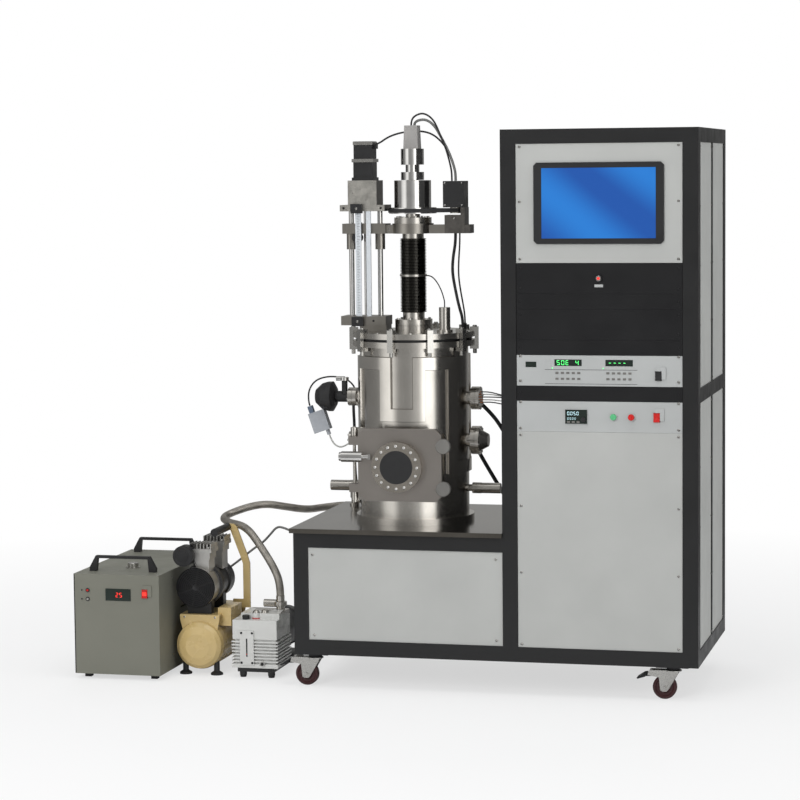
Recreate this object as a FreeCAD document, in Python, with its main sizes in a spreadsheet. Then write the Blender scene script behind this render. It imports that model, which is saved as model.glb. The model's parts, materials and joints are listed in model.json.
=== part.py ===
import FreeCAD, Part
import math
import os
import re
import sys

import Sketcher
from FreeCAD import Placement, Rotation, Vector

# Vacuum evaporation coater: a bench with a bell-shaped steel chamber and a lift,
# a control cabinet beside it, and the chiller, compressor and backing pump that serve it.
# Millimetres. X to the right, Y away from the front, Z up. Places are first written in the
# machine's own frame (X from the bench's left end, Y from the frame's front face, Z from the
# floor), and every sub-part then moves so that the origin lies under the middle of the whole.

doc = FreeCAD.newDocument("coater")

# Driving dimensions
SIZES = {
    # frame of square tube
    "tube": 45,
    "tube_wall": 3,
    "caster_tall": 100,
    "frame_tall": 1555,
    "frame_deep": 640,
    "bench_long": 637,
    "bench_tall": 366,
    "bench_rail": 43,
    "top_rail": 42,
    "side_rail": 42,
    "side_rail_top": 807,
    "mullion": 16,
    "table_thick": 14,
    "table_lip": 10,
    # sheet panels
    "sheet": 2,
    "panel_inset": 3,
    "panel_gap": 0.5,
    "vent_long": 120,
    "vent_tall": 6,
    "vent_pitch": 18,
    # rack
    "rack_wide": 482.6,
    "rack_unit": 44.45,
    "rack_gap": 0.4,
    "rack_slip": 1.2,
    "face_thick": 3,
    "face_recess": 2,
    "rack_rail": 16,
    "chassis_deep": 360,
    "chassis_wall": 1.5,
    "monitor_face": 343,
    "bezel_wide": 378,
    "bezel_tall": 234,
    "bezel_thick": 5,
    "bezel_round": 9,
    "monitor_border": 8,
    "monitor_deep": 42,
    "screen_wide": 332,
    "screen_tall": 203,
    # push buttons and rockers
    "button_radius": 8,
    "button_play": 0.4,
    "button_long": 12,
    "button_proud": 5,
    "button_ring": 3,
    "key_radius": 9,
    "rocker_wide": 18,
    "rocker_tall": 26,
    "rocker_play": 0.8,
    "rocker_slope": 12,
    "rocker_back": 8,
    "rocker_frame": 4,
    "display_wide": 80,
    "display_tall": 19,
    "keypad_wide": 67,
    "keypad_tall": 44,
    "keypad_proud": 3,
    "dial_radius": 7,
    "dial_long": 8,
    # casters
    "plate_wide": 95,
    "plate_deep": 65,
    "plate_thick": 4,
    "caster_inset": 52,
    "caster_inset_right": 78,
    "caster_setback": 45,
    "race_radius": 22,
    "race_tall": 10,
    "wheel_radius": 35,
    "wheel_wide": 24,
    "wheel_bore": 5,
    "caster_trail": 25,
    "fork_gap": 1.5,
    "fork_sheet": 3,
    "caster_play": 0.5,
    "running_fit": 0.05,
    "pedal_long": 44,
    # chamber
    "chamber_x": 308,
    "chamber_y": 285,
    "shell_radius": 165,
    "shell_wall": 5,
    "base_radius": 180,
    "base_tall": 18,
    "flange_radius": 184,
    "flange_thick": 18,
    "flange_top": 549,
    "pump_port": 76,
    "lid_thick": 17,
    "lid_step": 8,
    "lid_port": 33,
    "clamp_count": 10,
    "clamp_wide": 18,
    "clamp_web": 12,
    "clamp_jaw": 12,
    "clamp_phase": 10,
    # cooling channel welded round the shell
    "channel_wide": 37,
    "channel_proud": 8,
    "channel_top": 503,
    "channel_mid": 312,
    "channel_low": 150,
    "nipple_radius": 5,
    "nipple_long": 40,
    # door
    "door_wide": 256,
    "door_tall": 218,
    "door_thick": 15,
    "door_front": 75,
    "door_centre_x": 311,
    "door_low": 77,
    "door_round": 18,
    "door_gap": 0.4,
    "neck_wide": 232,
    "neck_tall": 186,
    "neck_wall": 14,
    "window_radius": 46,
    "window_rise": 104,
    "window_flange": 76,
    "window_flange_thick": 20,
    "glass_radius": 52,
    "glass_thick": 6,
    "knob_radius": 22,
    "knob_thick": 14,
    "knob_rise": 63.5,
    "stud_radius": 5,
    "pin_radius": 5,
    "hinge_x": 166,
    "hinge_y": 100,
    "lug_tall": 25,
    "lug_round": 11,
    # ports
    "port_radius": 21,
    "port_wall": 2,
    "small_flange": 35,
    "wide_flange": 43,
    "flange_plate": 13,
    "foreline_drop": 92,
    "drive_radius": 16,
    "drive_long": 60,
    "drive_rise": 97,
    # sources and substrate
    "source_plate": 12,
    "electrode_radius": 8,
    "electrode_tall": 70,
    "boat_long": 60,
    "boat_offset": 42,
    "boat_wide": 16,
    "shutter_wide": 44,
    "shaft_radius": 4,
    "rotor_shaft": 8,
    "holder_radius": 70,
    "holder_thick": 6,
    "holder_rise": 318,
    # high vacuum pump under the table
    "valve_wide": 220,
    "valve_tall": 46,
    "turbo_radius": 80,
    "turbo_tall": 190,
    # lift
    "lift_x": 160,
    "guide_spread": 45,
    "guide_radius": 8,
    "lift_plate_wide": 140,
    "lift_plate_deep": 84,
    "stand_wide": 84,
    "stand_tall": 18,
    "lift_base_tall": 28,
    "lift_gap": 318,
    "lift_plate_tall": 19,
    "head_wide": 90,
    "head_tall": 93,
    "head_deep": 80,
    "coupling_wide": 59,
    "coupling_tall": 55,
    "motor_wide": 57,
    "motor_tall": 63,
    "screw_radius": 6,
    "screw_play": 0.05,
    "carriage_rise": 296,
    "carriage_tall": 30,
    "carriage_deep": 68,
    "arm_deep": 56,
    "arm_reach": 183,
    "bearing_radius": 15,
    "bearing_long": 78,
    "bearing_play": 0.05,
    # centre column
    "column_flange": 56.75,
    "column_flange_thick": 18,
    "bellows_radius": 40,
    "bellows_wall": 6,
    "cuff_radius": 33,
    "cuff_tall": 21,
    "ring_tall": 5,
    "seal_radius": 18,
    "seal_bore": 12,
    "drum_radius": 56,
    "drum_tall": 82,
        "pulley_radius": 72,
    "pulley_tall": 18,
    "top_flange": 35,
    "top_neck": 21,
    "plug_wide": 46,
    "plug_top": 40,
    "plug_tall": 80,
    "belt_thick": 2.5,
    "belt_wide": 12,
    "belt_gap": 0.3,
    "drive_pulley": 17,
    "drive_x": 441,
    "drive_motor": 64,
    "drive_motor_tall": 79,
    # chiller
    "chiller_x": -702,
    "chiller_y": 5,
    "chiller_wide": 274,
    "chiller_deep": 520,
    "chiller_tall": 308,
    "chiller_foot": 15,
    "handle_rise": 48,
    "handle_bar": 8,
    # air compressor
    "tank_x": -341,
    "tank_y": 100,
    "tank_z": 92,
    "tank_radius": 75,
    "tank_long": 360,
    "deck_z": 171,
    "fan_z": 271,
    "fan_radius": 62,
    # backing pump
    "backing_x": -231,
    "backing_y": 105,
    "backing_wide": 146,
    "backing_low": 31,
    "backing_tall": 157,
    "backing_deep": 150,
    "backing_motor": 62,
    "backing_motor_long": 210,
    # cords
    "hose_radius": 12,
    "cable_radius": 3.5,
    "lead_radius": 2.5,
}

# Places and sizes that follow from the driving dimensions
PLACES = {
    "cabinet_wide": "rack_wide + 2*rack_slip + 2*tube",
    "chassis_wide": "rack_wide - 2*rack_rail - 20",
    "origin_x": "(chiller_x + bench_long + cabinet_wide) / 2",
    "origin_y": "(frame_deep - table_lip) / 2",
    "frame_low": "caster_tall",
    "frame_high": "caster_tall + frame_tall",
    "bench_high": "caster_tall + bench_tall",
    "table_high": "bench_high + table_thick",
    "cabinet_right": "bench_long + cabinet_wide",
    "back": "frame_deep - tube",
    "rack_x": "bench_long + (cabinet_wide - rack_wide) / 2",
    "rack_high": "frame_high - top_rail",
    "rack_low": "frame_low + tube",
    "rack_mid": "bench_long + cabinet_wide / 2",
    "chassis_y": "face_recess + face_thick",
    "rail_high": "frame_low + side_rail_top",
    "axle_z": "wheel_radius",
    "fork_width": "wheel_wide + 2 * fork_gap",
    "shell_inside": "shell_radius - shell_wall",
    "flange_high": "table_high + flange_top",
    "lid_low": "flange_high + lid_step",
    "lid_high": "lid_low + lid_thick",
    "door_back": "door_front + door_thick",
    "door_x": "door_centre_x - door_wide / 2",
    "door_z": "table_high + door_low",
    "window_z": "door_z + window_rise",
    "neck_front": "door_back + door_gap",
    "knob_x": "door_x + door_wide + 7",
    "lift_base_z": "lid_high + stand_tall",
    "lift_low": "lift_base_z + lift_base_tall",
    "lift_high": "lift_low + lift_gap",
    "head_z": "lift_high",
    "carriage_z": "lid_high + carriage_rise",
    "carriage_high": "carriage_z + carriage_tall",
    "bellows_low": "lid_high + 2 * column_flange_thick + cuff_tall",
    "bellows_high": "carriage_z - cuff_tall + 7",
    "seal_flange_z": "carriage_high",
    "pulley_z": "seal_flange_z + column_flange_thick + 12",
    "drum_z": "pulley_z + pulley_tall",
    "top_z": "drum_z + drum_tall",
    "drive_top": "carriage_high + 48",
    "drive_z": "table_high + drive_rise",
    "boat_y": "chamber_y + boat_offset",
    "screen_z": "rack_high - monitor_face / 2",
}

SHEETS = {name: "Sizes" for name in SIZES}
SHEETS.update({name: "Places" for name in PLACES})


def bound(text):
    """An expression for a property, from one written with plain size names."""
    def full(match):
        word = match.group()
        return f"{SHEETS[word]}.{word}" if word in SHEETS else word
    return re.sub(r"[a-z]\w*", full, str(text))


sizes = doc.addObject("Spreadsheet::Sheet", "Sizes")
for row, (alias, number) in enumerate(SIZES.items(), 1):
    sizes.set(f"A{row}", alias)
    sizes.set(f"B{row}", str(number))
    sizes.setAlias(f"B{row}", alias)
doc.recompute()
places = doc.addObject("Spreadsheet::Sheet", "Places")
for row, (alias, formula) in enumerate(PLACES.items(), 1):
    places.set(f"A{row}", alias)
    places.set(f"B{row}", "=" + bound(formula).replace("Places.", ""))
    places.setAlias(f"B{row}", alias)
doc.recompute()


def value(text):
    """The number that an expression of size names has now."""
    return float(sizes.evalExpression(bound(text)))


# Ways to make a solid

TURNS = {
    "x": Rotation(Vector(0, 1, 0), 90),
    "y": Rotation(Vector(1, 0, 0), -90),
    "z": Rotation(),
}


def place(piece, corner, turn=None):
    if turn is not None:
        piece.Placement = Placement(Vector(), turn)
    for axis, text in zip("xyz", corner):
        piece.setExpression(f"Placement.Base.{axis}", bound(text))
    return piece


def block(size, corner, label="block"):
    solid = doc.addObject("Part::Box", label)
    for side, text in zip(("Length", "Width", "Height"), size):
        solid.setExpression(side, bound(text))
    return place(solid, corner)


def rod(radius, length, foot, axis="z", label="rod"):
    solid = doc.addObject("Part::Cylinder", label)
    solid.setExpression("Radius", bound(radius))
    solid.setExpression("Height", bound(length))
    return place(solid, foot, TURNS[axis])


def cone(low_radius, high_radius, length, foot, axis="z", label="cone"):
    solid = doc.addObject("Part::Cone", label)
    solid.setExpression("Radius1", bound(low_radius))
    solid.setExpression("Radius2", bound(high_radius))
    solid.setExpression("Height", bound(length))
    return place(solid, foot, TURNS[axis])


def join(pieces, label="joined"):
    if len(pieces) == 1:
        return pieces[0]
    whole = doc.addObject("Part::MultiFuse", label)
    whole.Shapes = pieces
    whole.Refine = True
    return whole


def cut(base, tools, label="cut"):
    piece = doc.addObject("Part::Cut", label)
    piece.Base = base
    piece.Tool = join(tools, label + "_tools")
    piece.Refine = True
    return piece


def outline(body, plane, points):
    """A closed outline of straight lines whose corners are bound to the sheets."""
    sketch = body.newObject("Sketcher::SketchObject", body.Label + "_outline")
    flat = [f for f in body.Origin.OriginFeatures if f.Role == plane][0]
    sketch.AttachmentSupport = [(flat, "")]
    sketch.MapMode = "FlatFace"
    corners = [Vector(value(a), value(b), 0) for a, b in points]
    count = len(points)
    for i in range(count):
        sketch.addGeometry(Part.LineSegment(corners[i], corners[(i + 1) % count]), False)
    for i in range(count):
        sketch.addConstraint(Sketcher.Constraint("Coincident", i, 2, (i + 1) % count, 1))
    for i, texts in enumerate(points):
        for kind, text in zip(("DistanceX", "DistanceY"), texts):
            index = sketch.addConstraint(Sketcher.Constraint(kind, -1, 1, i, 1, value(text)))
            sketch.setExpression(f"Constraints[{index}]", bound(text))
    return sketch


def turned(profile, foot, axis="z", label="turned"):
    """A turned part. Its profile lists (radius, distance along the axis)."""
    body = doc.addObject("PartDesign::Body", label)
    sketch = outline(body, "XZ_Plane", profile)
    turn = body.newObject("PartDesign::Revolution", label + "_turn")
    turn.Profile = sketch
    turn.ReferenceAxis = (sketch, ["V_Axis"])
    turn.Angle = 360
    body.Tip = turn
    return place(body, foot, TURNS[axis])


def prism(plane, points, length, foot, label="prism"):
    """A straight part. XY goes up, XZ goes back and YZ goes right by its length."""
    body = doc.addObject("PartDesign::Body", label)
    sketch = outline(body, plane + "_Plane", points)
    pad = body.newObject("PartDesign::Pad", label + "_pad")
    pad.Profile = sketch
    pad.setExpression("Length", bound(length))
    pad.Reversed = plane == "XZ"
    body.Tip = pad
    return place(body, foot)


def cord(points, radius, label="cord"):
    """A round cord on straight runs that tangent arcs join. Its points are chosen by hand."""
    spots = [Vector(*(value(text) for text in point)) for point in points]
    edges = []
    last = spots[0]
    for before, corner, after in zip(spots, spots[1:], spots[2:]):
        back = (before - corner).normalize()
        ahead = (after - corner).normalize()
        setback = 0.45 * min((before - corner).Length, (after - corner).Length)
        half_turn = (math.pi - back.getAngle(ahead)) / 2
        if half_turn < 0.001:
            continue
        bend = setback / math.tan(half_turn)
        inward = (back + ahead).normalize()
        centre = corner + inward * math.hypot(setback, bend)
        start = corner + back * setback
        stop = corner + ahead * setback
        edges.append(Part.LineSegment(last, start).toShape())
        edges.append(Part.Arc(start, centre - inward * bend, stop).toShape())
        last = stop
    edges.append(Part.LineSegment(last, spots[-1]).toShape())
    route = doc.addObject("Part::Feature", label + "_route")
    route.Shape = Part.Wire(edges)
    section = doc.addObject("Part::Circle", label + "_section")
    section.setExpression("Radius", bound(radius))
    heading = Rotation(Vector(0, 0, 1), spots[1] - spots[0])
    section.Placement = Placement(spots[0], heading)
    sweep = doc.addObject("Part::Sweep", label)
    sweep.Sections = [section]
    sweep.Spine = (route, [f"Edge{i + 1}" for i in range(len(edges))])
    sweep.Solid = True
    return sweep


NODES = []


def node(name, pieces, joined=True):
    """A named sub-part, moved from the machine's own frame to the part's origin."""
    if joined and len(pieces) > 1:
        part = join(pieces, name)
    else:
        part = doc.addObject("Part::Compound", name)
        part.Links = pieces
    part.Label = name
    place(part, ("-origin_x", "-origin_y", "0"))
    NODES.append(part)
    return part


# Frame of welded square tube

def tube(size, corner, along, closed=False):
    length, depth, height = size
    x, y, z = corner
    wall = "tube_wall"
    if along == "x":
        inside = (length, f"{depth} - 2*{wall}", f"{height} - 2*{wall}")
        start = (x, f"{y} + {wall}", f"{z} + {wall}")
    elif along == "y":
        inside = (f"{length} - 2*{wall}", depth, f"{height} - 2*{wall}")
        start = (f"{x} + {wall}", y, f"{z} + {wall}")
    else:
        lid = f" - {wall}" if closed else ""
        inside = (f"{length} - 2*{wall}", f"{depth} - 2*{wall}", height + lid)
        start = (f"{x} + {wall}", f"{y} + {wall}", z)
    return cut(block(size, corner), [block(inside, start)], "tube")


def make_frame():
    tubes = []
    right = "cabinet_right - tube"
    for y in ("0", "back"):
        tubes.append(tube(("tube", "tube", "bench_tall"), ("0", y, "frame_low"), "z", True))
        for x in ("bench_long", right):
            tubes.append(tube(("tube", "tube", "frame_tall"), (x, y, "frame_low"), "z", True))
        bench = "bench_long - tube"
        cabinet = "cabinet_wide - 2*tube"
        after = "bench_long + tube"
        tubes.append(tube((bench, "tube", "tube"), ("tube", y, "frame_low"), "x"))
        tubes.append(tube((cabinet, "tube", "tube"), (after, y, "frame_low"), "x"))
        tubes.append(tube((bench, "tube", "bench_rail"), ("tube", y, "bench_high - bench_rail"), "x"))
        tubes.append(tube((cabinet, "tube", "top_rail"), (after, y, "frame_high - top_rail"), "x"))
    deep = "frame_deep - 2*tube"
    for x in ("0", "bench_long", right):
        tubes.append(tube(("tube", deep, "tube"), (x, "tube", "frame_low"), "y"))
    for x in ("0", "bench_long"):
        tubes.append(tube(("tube", deep, "bench_rail"), (x, "tube", "bench_high - bench_rail"), "y"))
    for x in ("bench_long", right):
        tubes.append(tube(("tube", deep, "top_rail"), (x, "tube", "frame_high - top_rail"), "y"))
    tubes.append(tube(("tube", deep, "side_rail"), (right, "tube", "rail_high - side_rail"), "y"))
    for x in ("chamber_x - base_radius + 10 - tube", "chamber_x + base_radius - 10"):
        tubes.append(tube(("tube", deep, "bench_rail"), (x, "tube", "bench_high - bench_rail"), "y"))
    middle = "(frame_deep - mullion) / 2"
    side = "cabinet_right - mullion"
    low = "rail_high - side_rail - frame_low - tube"
    high = "rack_high - rail_high"
    tubes.append(block(("mullion", "mullion", low), (side, middle, "rack_low")))
    tubes.append(block(("mullion", "mullion", high), (side, middle, "rail_high")))
    rail = ("rack_rail", "face_thick", "rack_high - rack_low")
    tubes.append(block(rail, ("bench_long + tube", "chassis_y", "rack_low")))
    tubes.append(block(rail, ("cabinet_right - tube - rack_rail", "chassis_y", "rack_low")))
    node("main_frame", tubes, False)


def make_table():
    plate = block(
        ("bench_long + table_lip", "frame_deep + table_lip", "table_thick"),
        ("-table_lip", "-table_lip", "bench_high"))
    hole = rod("pump_port", "table_thick", ("chamber_x", "chamber_y", "bench_high"))
    node("bench_top", [cut(plate, [hole])])


# Sheet panels that close the frame

def sheet_panel(kind, low, high, at, vents=0):
    """A panel between two corners of an opening. kind names the axis that it faces."""
    (a0, z0), (a1, z1) = low, high
    wide = f"({a1}) - ({a0}) - 2*panel_gap"
    tall = f"({z1}) - ({z0}) - 2*panel_gap"
    start_a = f"({a0}) + panel_gap"
    start_z = f"({z0}) + panel_gap"
    if kind == "y":
        plate = block((wide, "sheet", tall), (start_a, at, start_z))
    else:
        plate = block(("sheet", wide, tall), (at, start_a, start_z))
    slots = []
    for i in range(vents):
        z = f"{start_z} + 40 + {i}*vent_pitch"
        a = f"{start_a} + ({wide}) / 2 - vent_long / 2"
        if kind == "y":
            slots.append(block(("vent_long", "sheet", "vent_tall"), (a, at, z)))
        else:
            slots.append(block(("sheet", "vent_long", "vent_tall"), (at, a, z)))
    return cut(plate, slots, "panel") if slots else plate


def make_panels():
    low = "rack_low"
    rim = "bench_high - bench_rail"
    front = sheet_panel("y", ("tube", low), ("bench_long", rim), "panel_inset")
    left = sheet_panel("x", ("tube", low), ("back", rim), "panel_inset")
    rear_y = "frame_deep - panel_inset - sheet"
    rear = sheet_panel("y", ("tube", low), ("bench_long", rim), rear_y, 5)
    way = rod("hose_radius + 4", "20", ("chamber_x", "frame_deep - 15", "bench_high - foreline_drop"), "y")
    rear = cut(rear, [way])
    node("bench_panels", [front, left, rear], False)
    inner = "bench_long + tube"
    outer = "cabinet_right - tube"
    side = "cabinet_right - panel_inset - sheet"
    mid_a = "(frame_deep - mullion) / 2"
    mid_b = "(frame_deep + mullion) / 2"
    panels = []
    for a0, a1 in (("tube", mid_a), (mid_b, "back")):
        panels.append(sheet_panel("x", (a0, low), (a1, "rail_high - side_rail"), side))
        panels.append(sheet_panel("x", (a0, "rail_high"), (a1, "rack_high"), side))
    panels.append(sheet_panel("x", ("tube", "bench_high"), ("back", "rack_high"), "bench_long + panel_inset"))
    panels.append(sheet_panel("y", (inner, low), (outer, "rack_high"), rear_y, 8))
    lid = ("cabinet_wide - 2*tube - 2*panel_gap", "frame_deep - 2*tube - 2*panel_gap", "sheet")
    lid_corner = (f"{inner} + panel_gap", "tube + panel_gap", "frame_high - panel_inset - sheet")
    panels.append(block(lid, lid_corner))
    node("cabinet_panels", panels, False)


# Instruments in the rack, from the top down

def face(z, tall, holes=()):
    size = ("rack_wide", "face_thick", f"{tall} - rack_gap")
    plate = block(size, ("rack_x", "face_recess", z))
    return cut(plate, list(holes), "face") if holes else plate


def chassis(z, tall):
    """A folded steel case, open to the back of its own front plate."""
    wide = "chassis_wide"
    x = "rack_mid - chassis_wide / 2"
    wall = "chassis_wall"
    outer = block((wide, "chassis_deep", f"{tall} - 4"), (x, "chassis_y", f"{z} + 2"))
    inner = block(
        (f"{wide} - 2*{wall}", f"chassis_deep - {wall}", f"{tall} - 4 - 2*{wall}"),
        (f"{x} + {wall}", "chassis_y", f"{z} + 2 + {wall}"))
    return cut(outer, [inner], "chassis")


def button_hole(x, z, radius):
    return rod(f"{radius} + button_play", "face_thick + 2*button_ring", (x, "face_recess - button_ring", z), "y")


def button_collar(x, z, radius):
    return rod(f"{radius} + button_play + button_ring", "button_ring", (x, "face_recess - button_ring", z), "y")


def push_button(name, x, z, radius):
    foot = (x, "face_recess - button_ring - button_proud", z)
    cap = turned(
        [("0", "0"), (f"{radius} - 1", "0"), (radius, "1"), (radius, "button_long"), ("0", "button_long")],
        foot, "y", name + "_cap")
    node(name, [cap])


def rocker_hole(x, z):
    size = ("rocker_wide + 2*rocker_play", "face_thick + 2*button_ring", "rocker_tall + 2*rocker_play")
    corner = (f"{x} - rocker_wide/2 - rocker_play", "face_recess - button_ring",
              f"{z} - rocker_tall/2 - rocker_play")
    return block(size, corner)


def rocker_rim(x, z):
    rim = "rocker_play + rocker_frame"
    size = (f"rocker_wide + 2*({rim})", "button_ring", f"rocker_tall + 2*({rim})")
    return block(size, (f"{x} - rocker_wide/2 - {rim}", "face_recess - button_ring", f"{z} - rocker_tall/2 - {rim}"))


def rocker(name, x, z, front="face_recess - button_ring"):
    """A rocker cap with two flats: the upper one is level with its frame, the lower one stands out."""
    half = "rocker_tall/2"
    proud = "rocker_tall/2*tan(rocker_slope)"
    points = [
        ("0", half), ("0", "0"), (f"-{proud}", f"-{half}"),
        (f"rocker_back - {proud}", f"-{half}"), ("rocker_back", "0"), ("rocker_back - 4", half)]
    cap = prism("YZ", points, "rocker_wide", (f"{x} - rocker_wide/2", front, z), name + "_cap")
    node(name, [cap])


def make_rack():
    units = {"computer": 2, "blank_a": 1, "blank_b": 2, "blank_c": 1, "gauge": 2, "blank_d": 1, "pump": 2}
    low = {}
    z = "rack_high - monitor_face"
    monitor_z = z
    for name, count in units.items():
        z = f"{z} - {count}*rack_unit"
        low[name] = z
    bottom_tall = f"{z} - rack_low"
    window = block(
        ("bezel_wide - 2*monitor_border", "face_thick", "bezel_tall - 2*monitor_border"),
        ("rack_mid - bezel_wide/2 + monitor_border", "face_recess", "screen_z - bezel_tall/2 + monitor_border"))

    w, t, r = "bezel_wide/2", "bezel_tall/2", "bezel_round"
    corners = [
        (f"-{w} + {r}", f"-{t}"), (f"{w} - {r}", f"-{t}"), (w, f"-{t} + {r}"), (w, f"{t} - {r}"),
        (f"{w} - {r}", t), (f"-{w} + {r}", t), (f"-{w}", f"{t} - {r}"), (f"-{w}", f"-{t} + {r}")]
    bezel = prism("XZ", corners, "bezel_thick", ("rack_mid", "face_recess - bezel_thick", "screen_z"), "bezel")
    glass = block(
        ("screen_wide", "1", "screen_tall"),
        ("rack_mid - screen_wide/2", "face_recess - bezel_thick", "screen_z - screen_tall/2"))
    housing = block(
        ("bezel_wide - 2*monitor_border - 1", "monitor_deep", "bezel_tall - 2*monitor_border - 1"),
        ("rack_mid - bezel_wide/2 + monitor_border + 0.5", "face_recess",
         "screen_z - bezel_tall/2 + monitor_border + 0.5"))
    node("touch_monitor", [join([cut(bezel, [glass], "bezel_cut"), housing], "monitor_body")])

    computer_z = f"{low['computer']} + rack_unit"
    computer_x = "rack_mid"
    body = join([
        face(low["computer"], "2*rack_unit"), chassis(low["computer"], "2*rack_unit"),
        button_collar(computer_x, computer_z, "button_radius")])
    node("control_computer", [cut(body, [button_hole(computer_x, computer_z, "button_radius")])])
    push_button("computer_button", computer_x, computer_z, "button_radius")

    blanks = [face(low["blank_a"], "rack_unit"), face(low["blank_b"], "2*rack_unit"),
              face(low["blank_c"], "rack_unit"), face(low["blank_d"], "rack_unit")]
    node("rack_blanks", blanks, False)

    gauge = low["gauge"]
    rocker_x = "rack_x + rack_wide - 69"
    gauge_z = f"{gauge} + 0.7*rack_unit"
    windows = []
    for x in ("rack_x + 111", "rack_x + 260"):
        windows.append(block(("display_wide", "1", "display_tall"), (x, "face_recess", f"{gauge} + 1.3*rack_unit")))
    body = join([face(gauge, "2*rack_unit"), chassis(gauge, "2*rack_unit"), rocker_rim(rocker_x, gauge_z)])
    node("gauge_controller", [cut(body, windows + [rocker_hole(rocker_x, gauge_z)])])
    rocker("gauge_rocker", rocker_x, gauge_z)

    pump = low["pump"]
    rocker_x = "rack_x + rack_wide - 74"
    keys_z = f"{pump} + rack_unit"
    keypad_x = "rack_x + 141"
    dial = (f"{keypad_x} + keypad_wide - 12", f"{keys_z} - 8")
    collars = [face(pump, "2*rack_unit"), chassis(pump, "2*rack_unit"), rocker_rim(rocker_x, keys_z)]
    collars.append(block(
        ("keypad_wide", "keypad_proud", "keypad_tall"),
        (keypad_x, "face_recess - keypad_proud", f"{keys_z} - keypad_tall/2")))
    holes = [rocker_hole(rocker_x, keys_z)]
    for name, x in (("start_button", "rack_x + 283"), ("stop_button", "rack_x + 335")):
        collars.append(button_collar(x, keys_z, "key_radius"))
        holes.append(button_hole(x, keys_z, "key_radius"))
        push_button(name, x, keys_z, "key_radius")
    spindle = rod("shaft_radius + running_fit", "face_thick + keypad_proud",
                  (dial[0], "face_recess - keypad_proud", dial[1]), "y")
    node("pump_controller", [cut(join(collars), holes + [spindle])])
    rocker("mains_rocker", rocker_x, keys_z)
    knob = turned(
        [("0", "0"), ("dial_radius - 1", "0"), ("dial_radius", "1"), ("dial_radius", "dial_long"),
         ("shaft_radius", "dial_long"), ("shaft_radius", "dial_long + 8"), ("0", "dial_long + 8")],
        (dial[0], "face_recess - keypad_proud - dial_long - 0.3", dial[1]), "y", "speed_knob_turned")
    node("speed_knob", [knob])
    node("rack_panels", [face(monitor_z, "monitor_face", [window]), face("rack_low", bottom_tall)], False)


# Casters

def make_casters():
    left = "caster_inset"
    right = "cabinet_right - caster_inset_right"
    near = "caster_setback"
    far = "frame_deep - caster_setback"
    spots = {"front_left": (left, near), "front_right": (right, near),
             "rear_left": (left, far), "rear_right": (right, far)}
    plate_z = "frame_low - plate_thick"
    race_z = "frame_low - plate_thick - race_tall"
    crown_z = "frame_low - plate_thick - race_tall - caster_play - fork_sheet"
    plates = []
    for x, y in spots.values():
        plate = block(("plate_wide", "plate_deep", "plate_thick"),
                      (f"{x} - plate_wide/2", f"{y} - plate_deep/2", plate_z))
        race = turned(
            [("0", "0"), ("race_radius - 3", "0"), ("race_radius", "race_tall"), ("0", "race_tall")],
            (x, y, race_z), "z", "race")
        plates.append(join([plate, race], "caster_plate"))
    node("caster_plates", plates, False)
    for name, (x, y) in spots.items():
        axle_x = f"{x} - caster_trail"
        crown = rod("race_radius + 2", "fork_sheet", (x, y, crown_z))
        bridge = block(("caster_trail + 12", "fork_width + 2*fork_sheet", "fork_sheet"),
                       (f"{axle_x} - 12", f"{y} - fork_width/2 - fork_sheet", crown_z))
        cheeks = []
        for side in (f"{y} - fork_width/2 - fork_sheet", f"{y} + fork_width/2"):
            drop = f"({crown_z}) - axle_z"
            points = [
                ("-caster_trail - 20", f"{drop} + fork_sheet"), ("-caster_trail - 24", f"{drop} - 12"),
                ("-16", f"{drop} - 18"), ("-12", "-8"), ("-6", "-12"), ("6", "-12"), ("12", "-6"),
                ("caster_trail + 16", f"{drop} - 4"), ("caster_trail + 16", f"{drop} + fork_sheet")]
            cheeks.append(prism("XZ", points, "fork_sheet", (axle_x, side, "axle_z"), "cheek"))
        axle = rod("wheel_bore", "fork_width + 2*fork_sheet + 8",
                   (axle_x, f"{y} - fork_width/2 - fork_sheet - 4", "axle_z"), "y")
        node("caster_fork_" + name, [crown, bridge, axle] + cheeks)
        bore = "wheel_bore + running_fit"
        half = "wheel_wide/2"
        wheel = turned(
            [(bore, f"-{half}"), ("wheel_radius*0.4", f"-{half}"), ("wheel_radius*0.5", f"-{half} + 4"),
             ("wheel_radius*0.7", f"-{half} + 4"), ("wheel_radius*0.78", f"-{half} + 1"),
             ("wheel_radius - 4", f"-{half} + 1"), ("wheel_radius", f"-{half} + 5"),
             ("wheel_radius", f"{half} - 5"), ("wheel_radius - 4", f"{half} - 1"),
             ("wheel_radius*0.78", f"{half} - 1"), ("wheel_radius*0.7", f"{half} - 4"),
             ("wheel_radius*0.5", f"{half} - 4"), ("wheel_radius*0.4", half), (bore, half)],
            (axle_x, y, "axle_z"), "y", "wheel")
        node("caster_wheel_" + name, [wheel])
    for name in ("front_left", "front_right"):
        x, y = spots[name]
        pivot = (f"{x} - caster_trail - 37", f"({crown_z}) - 10")
        hub = prism(
            "XZ", [("-18", "-6"), ("5", "-5"), ("5", "5"), ("-18", "3")], "fork_width - 1",
            (pivot[0], f"{y} - fork_width/2 + 0.5", pivot[1]), "pedal_hub")
        plate = prism(
            "XZ", [("-pedal_long", "-11"), ("-pedal_long + 4", "-13"), ("-18", "-6"), ("-16", "3"), ("-24", "2")],
            "fork_width + 2*fork_sheet + 12",
            (pivot[0], f"{y} - fork_width/2 - fork_sheet - 6", pivot[1]), "pedal_plate")
        node("caster_brake_" + name, [hub, plate])


# Chamber

def annulus(low_radius, high_radius, height, foot, label="annulus"):
    return turned(
        [(low_radius, "0"), (high_radius, "0"), (high_radius, height), (low_radius, height)],
        foot, "z", label)


AXIS = ("chamber_x", "chamber_y")


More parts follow.
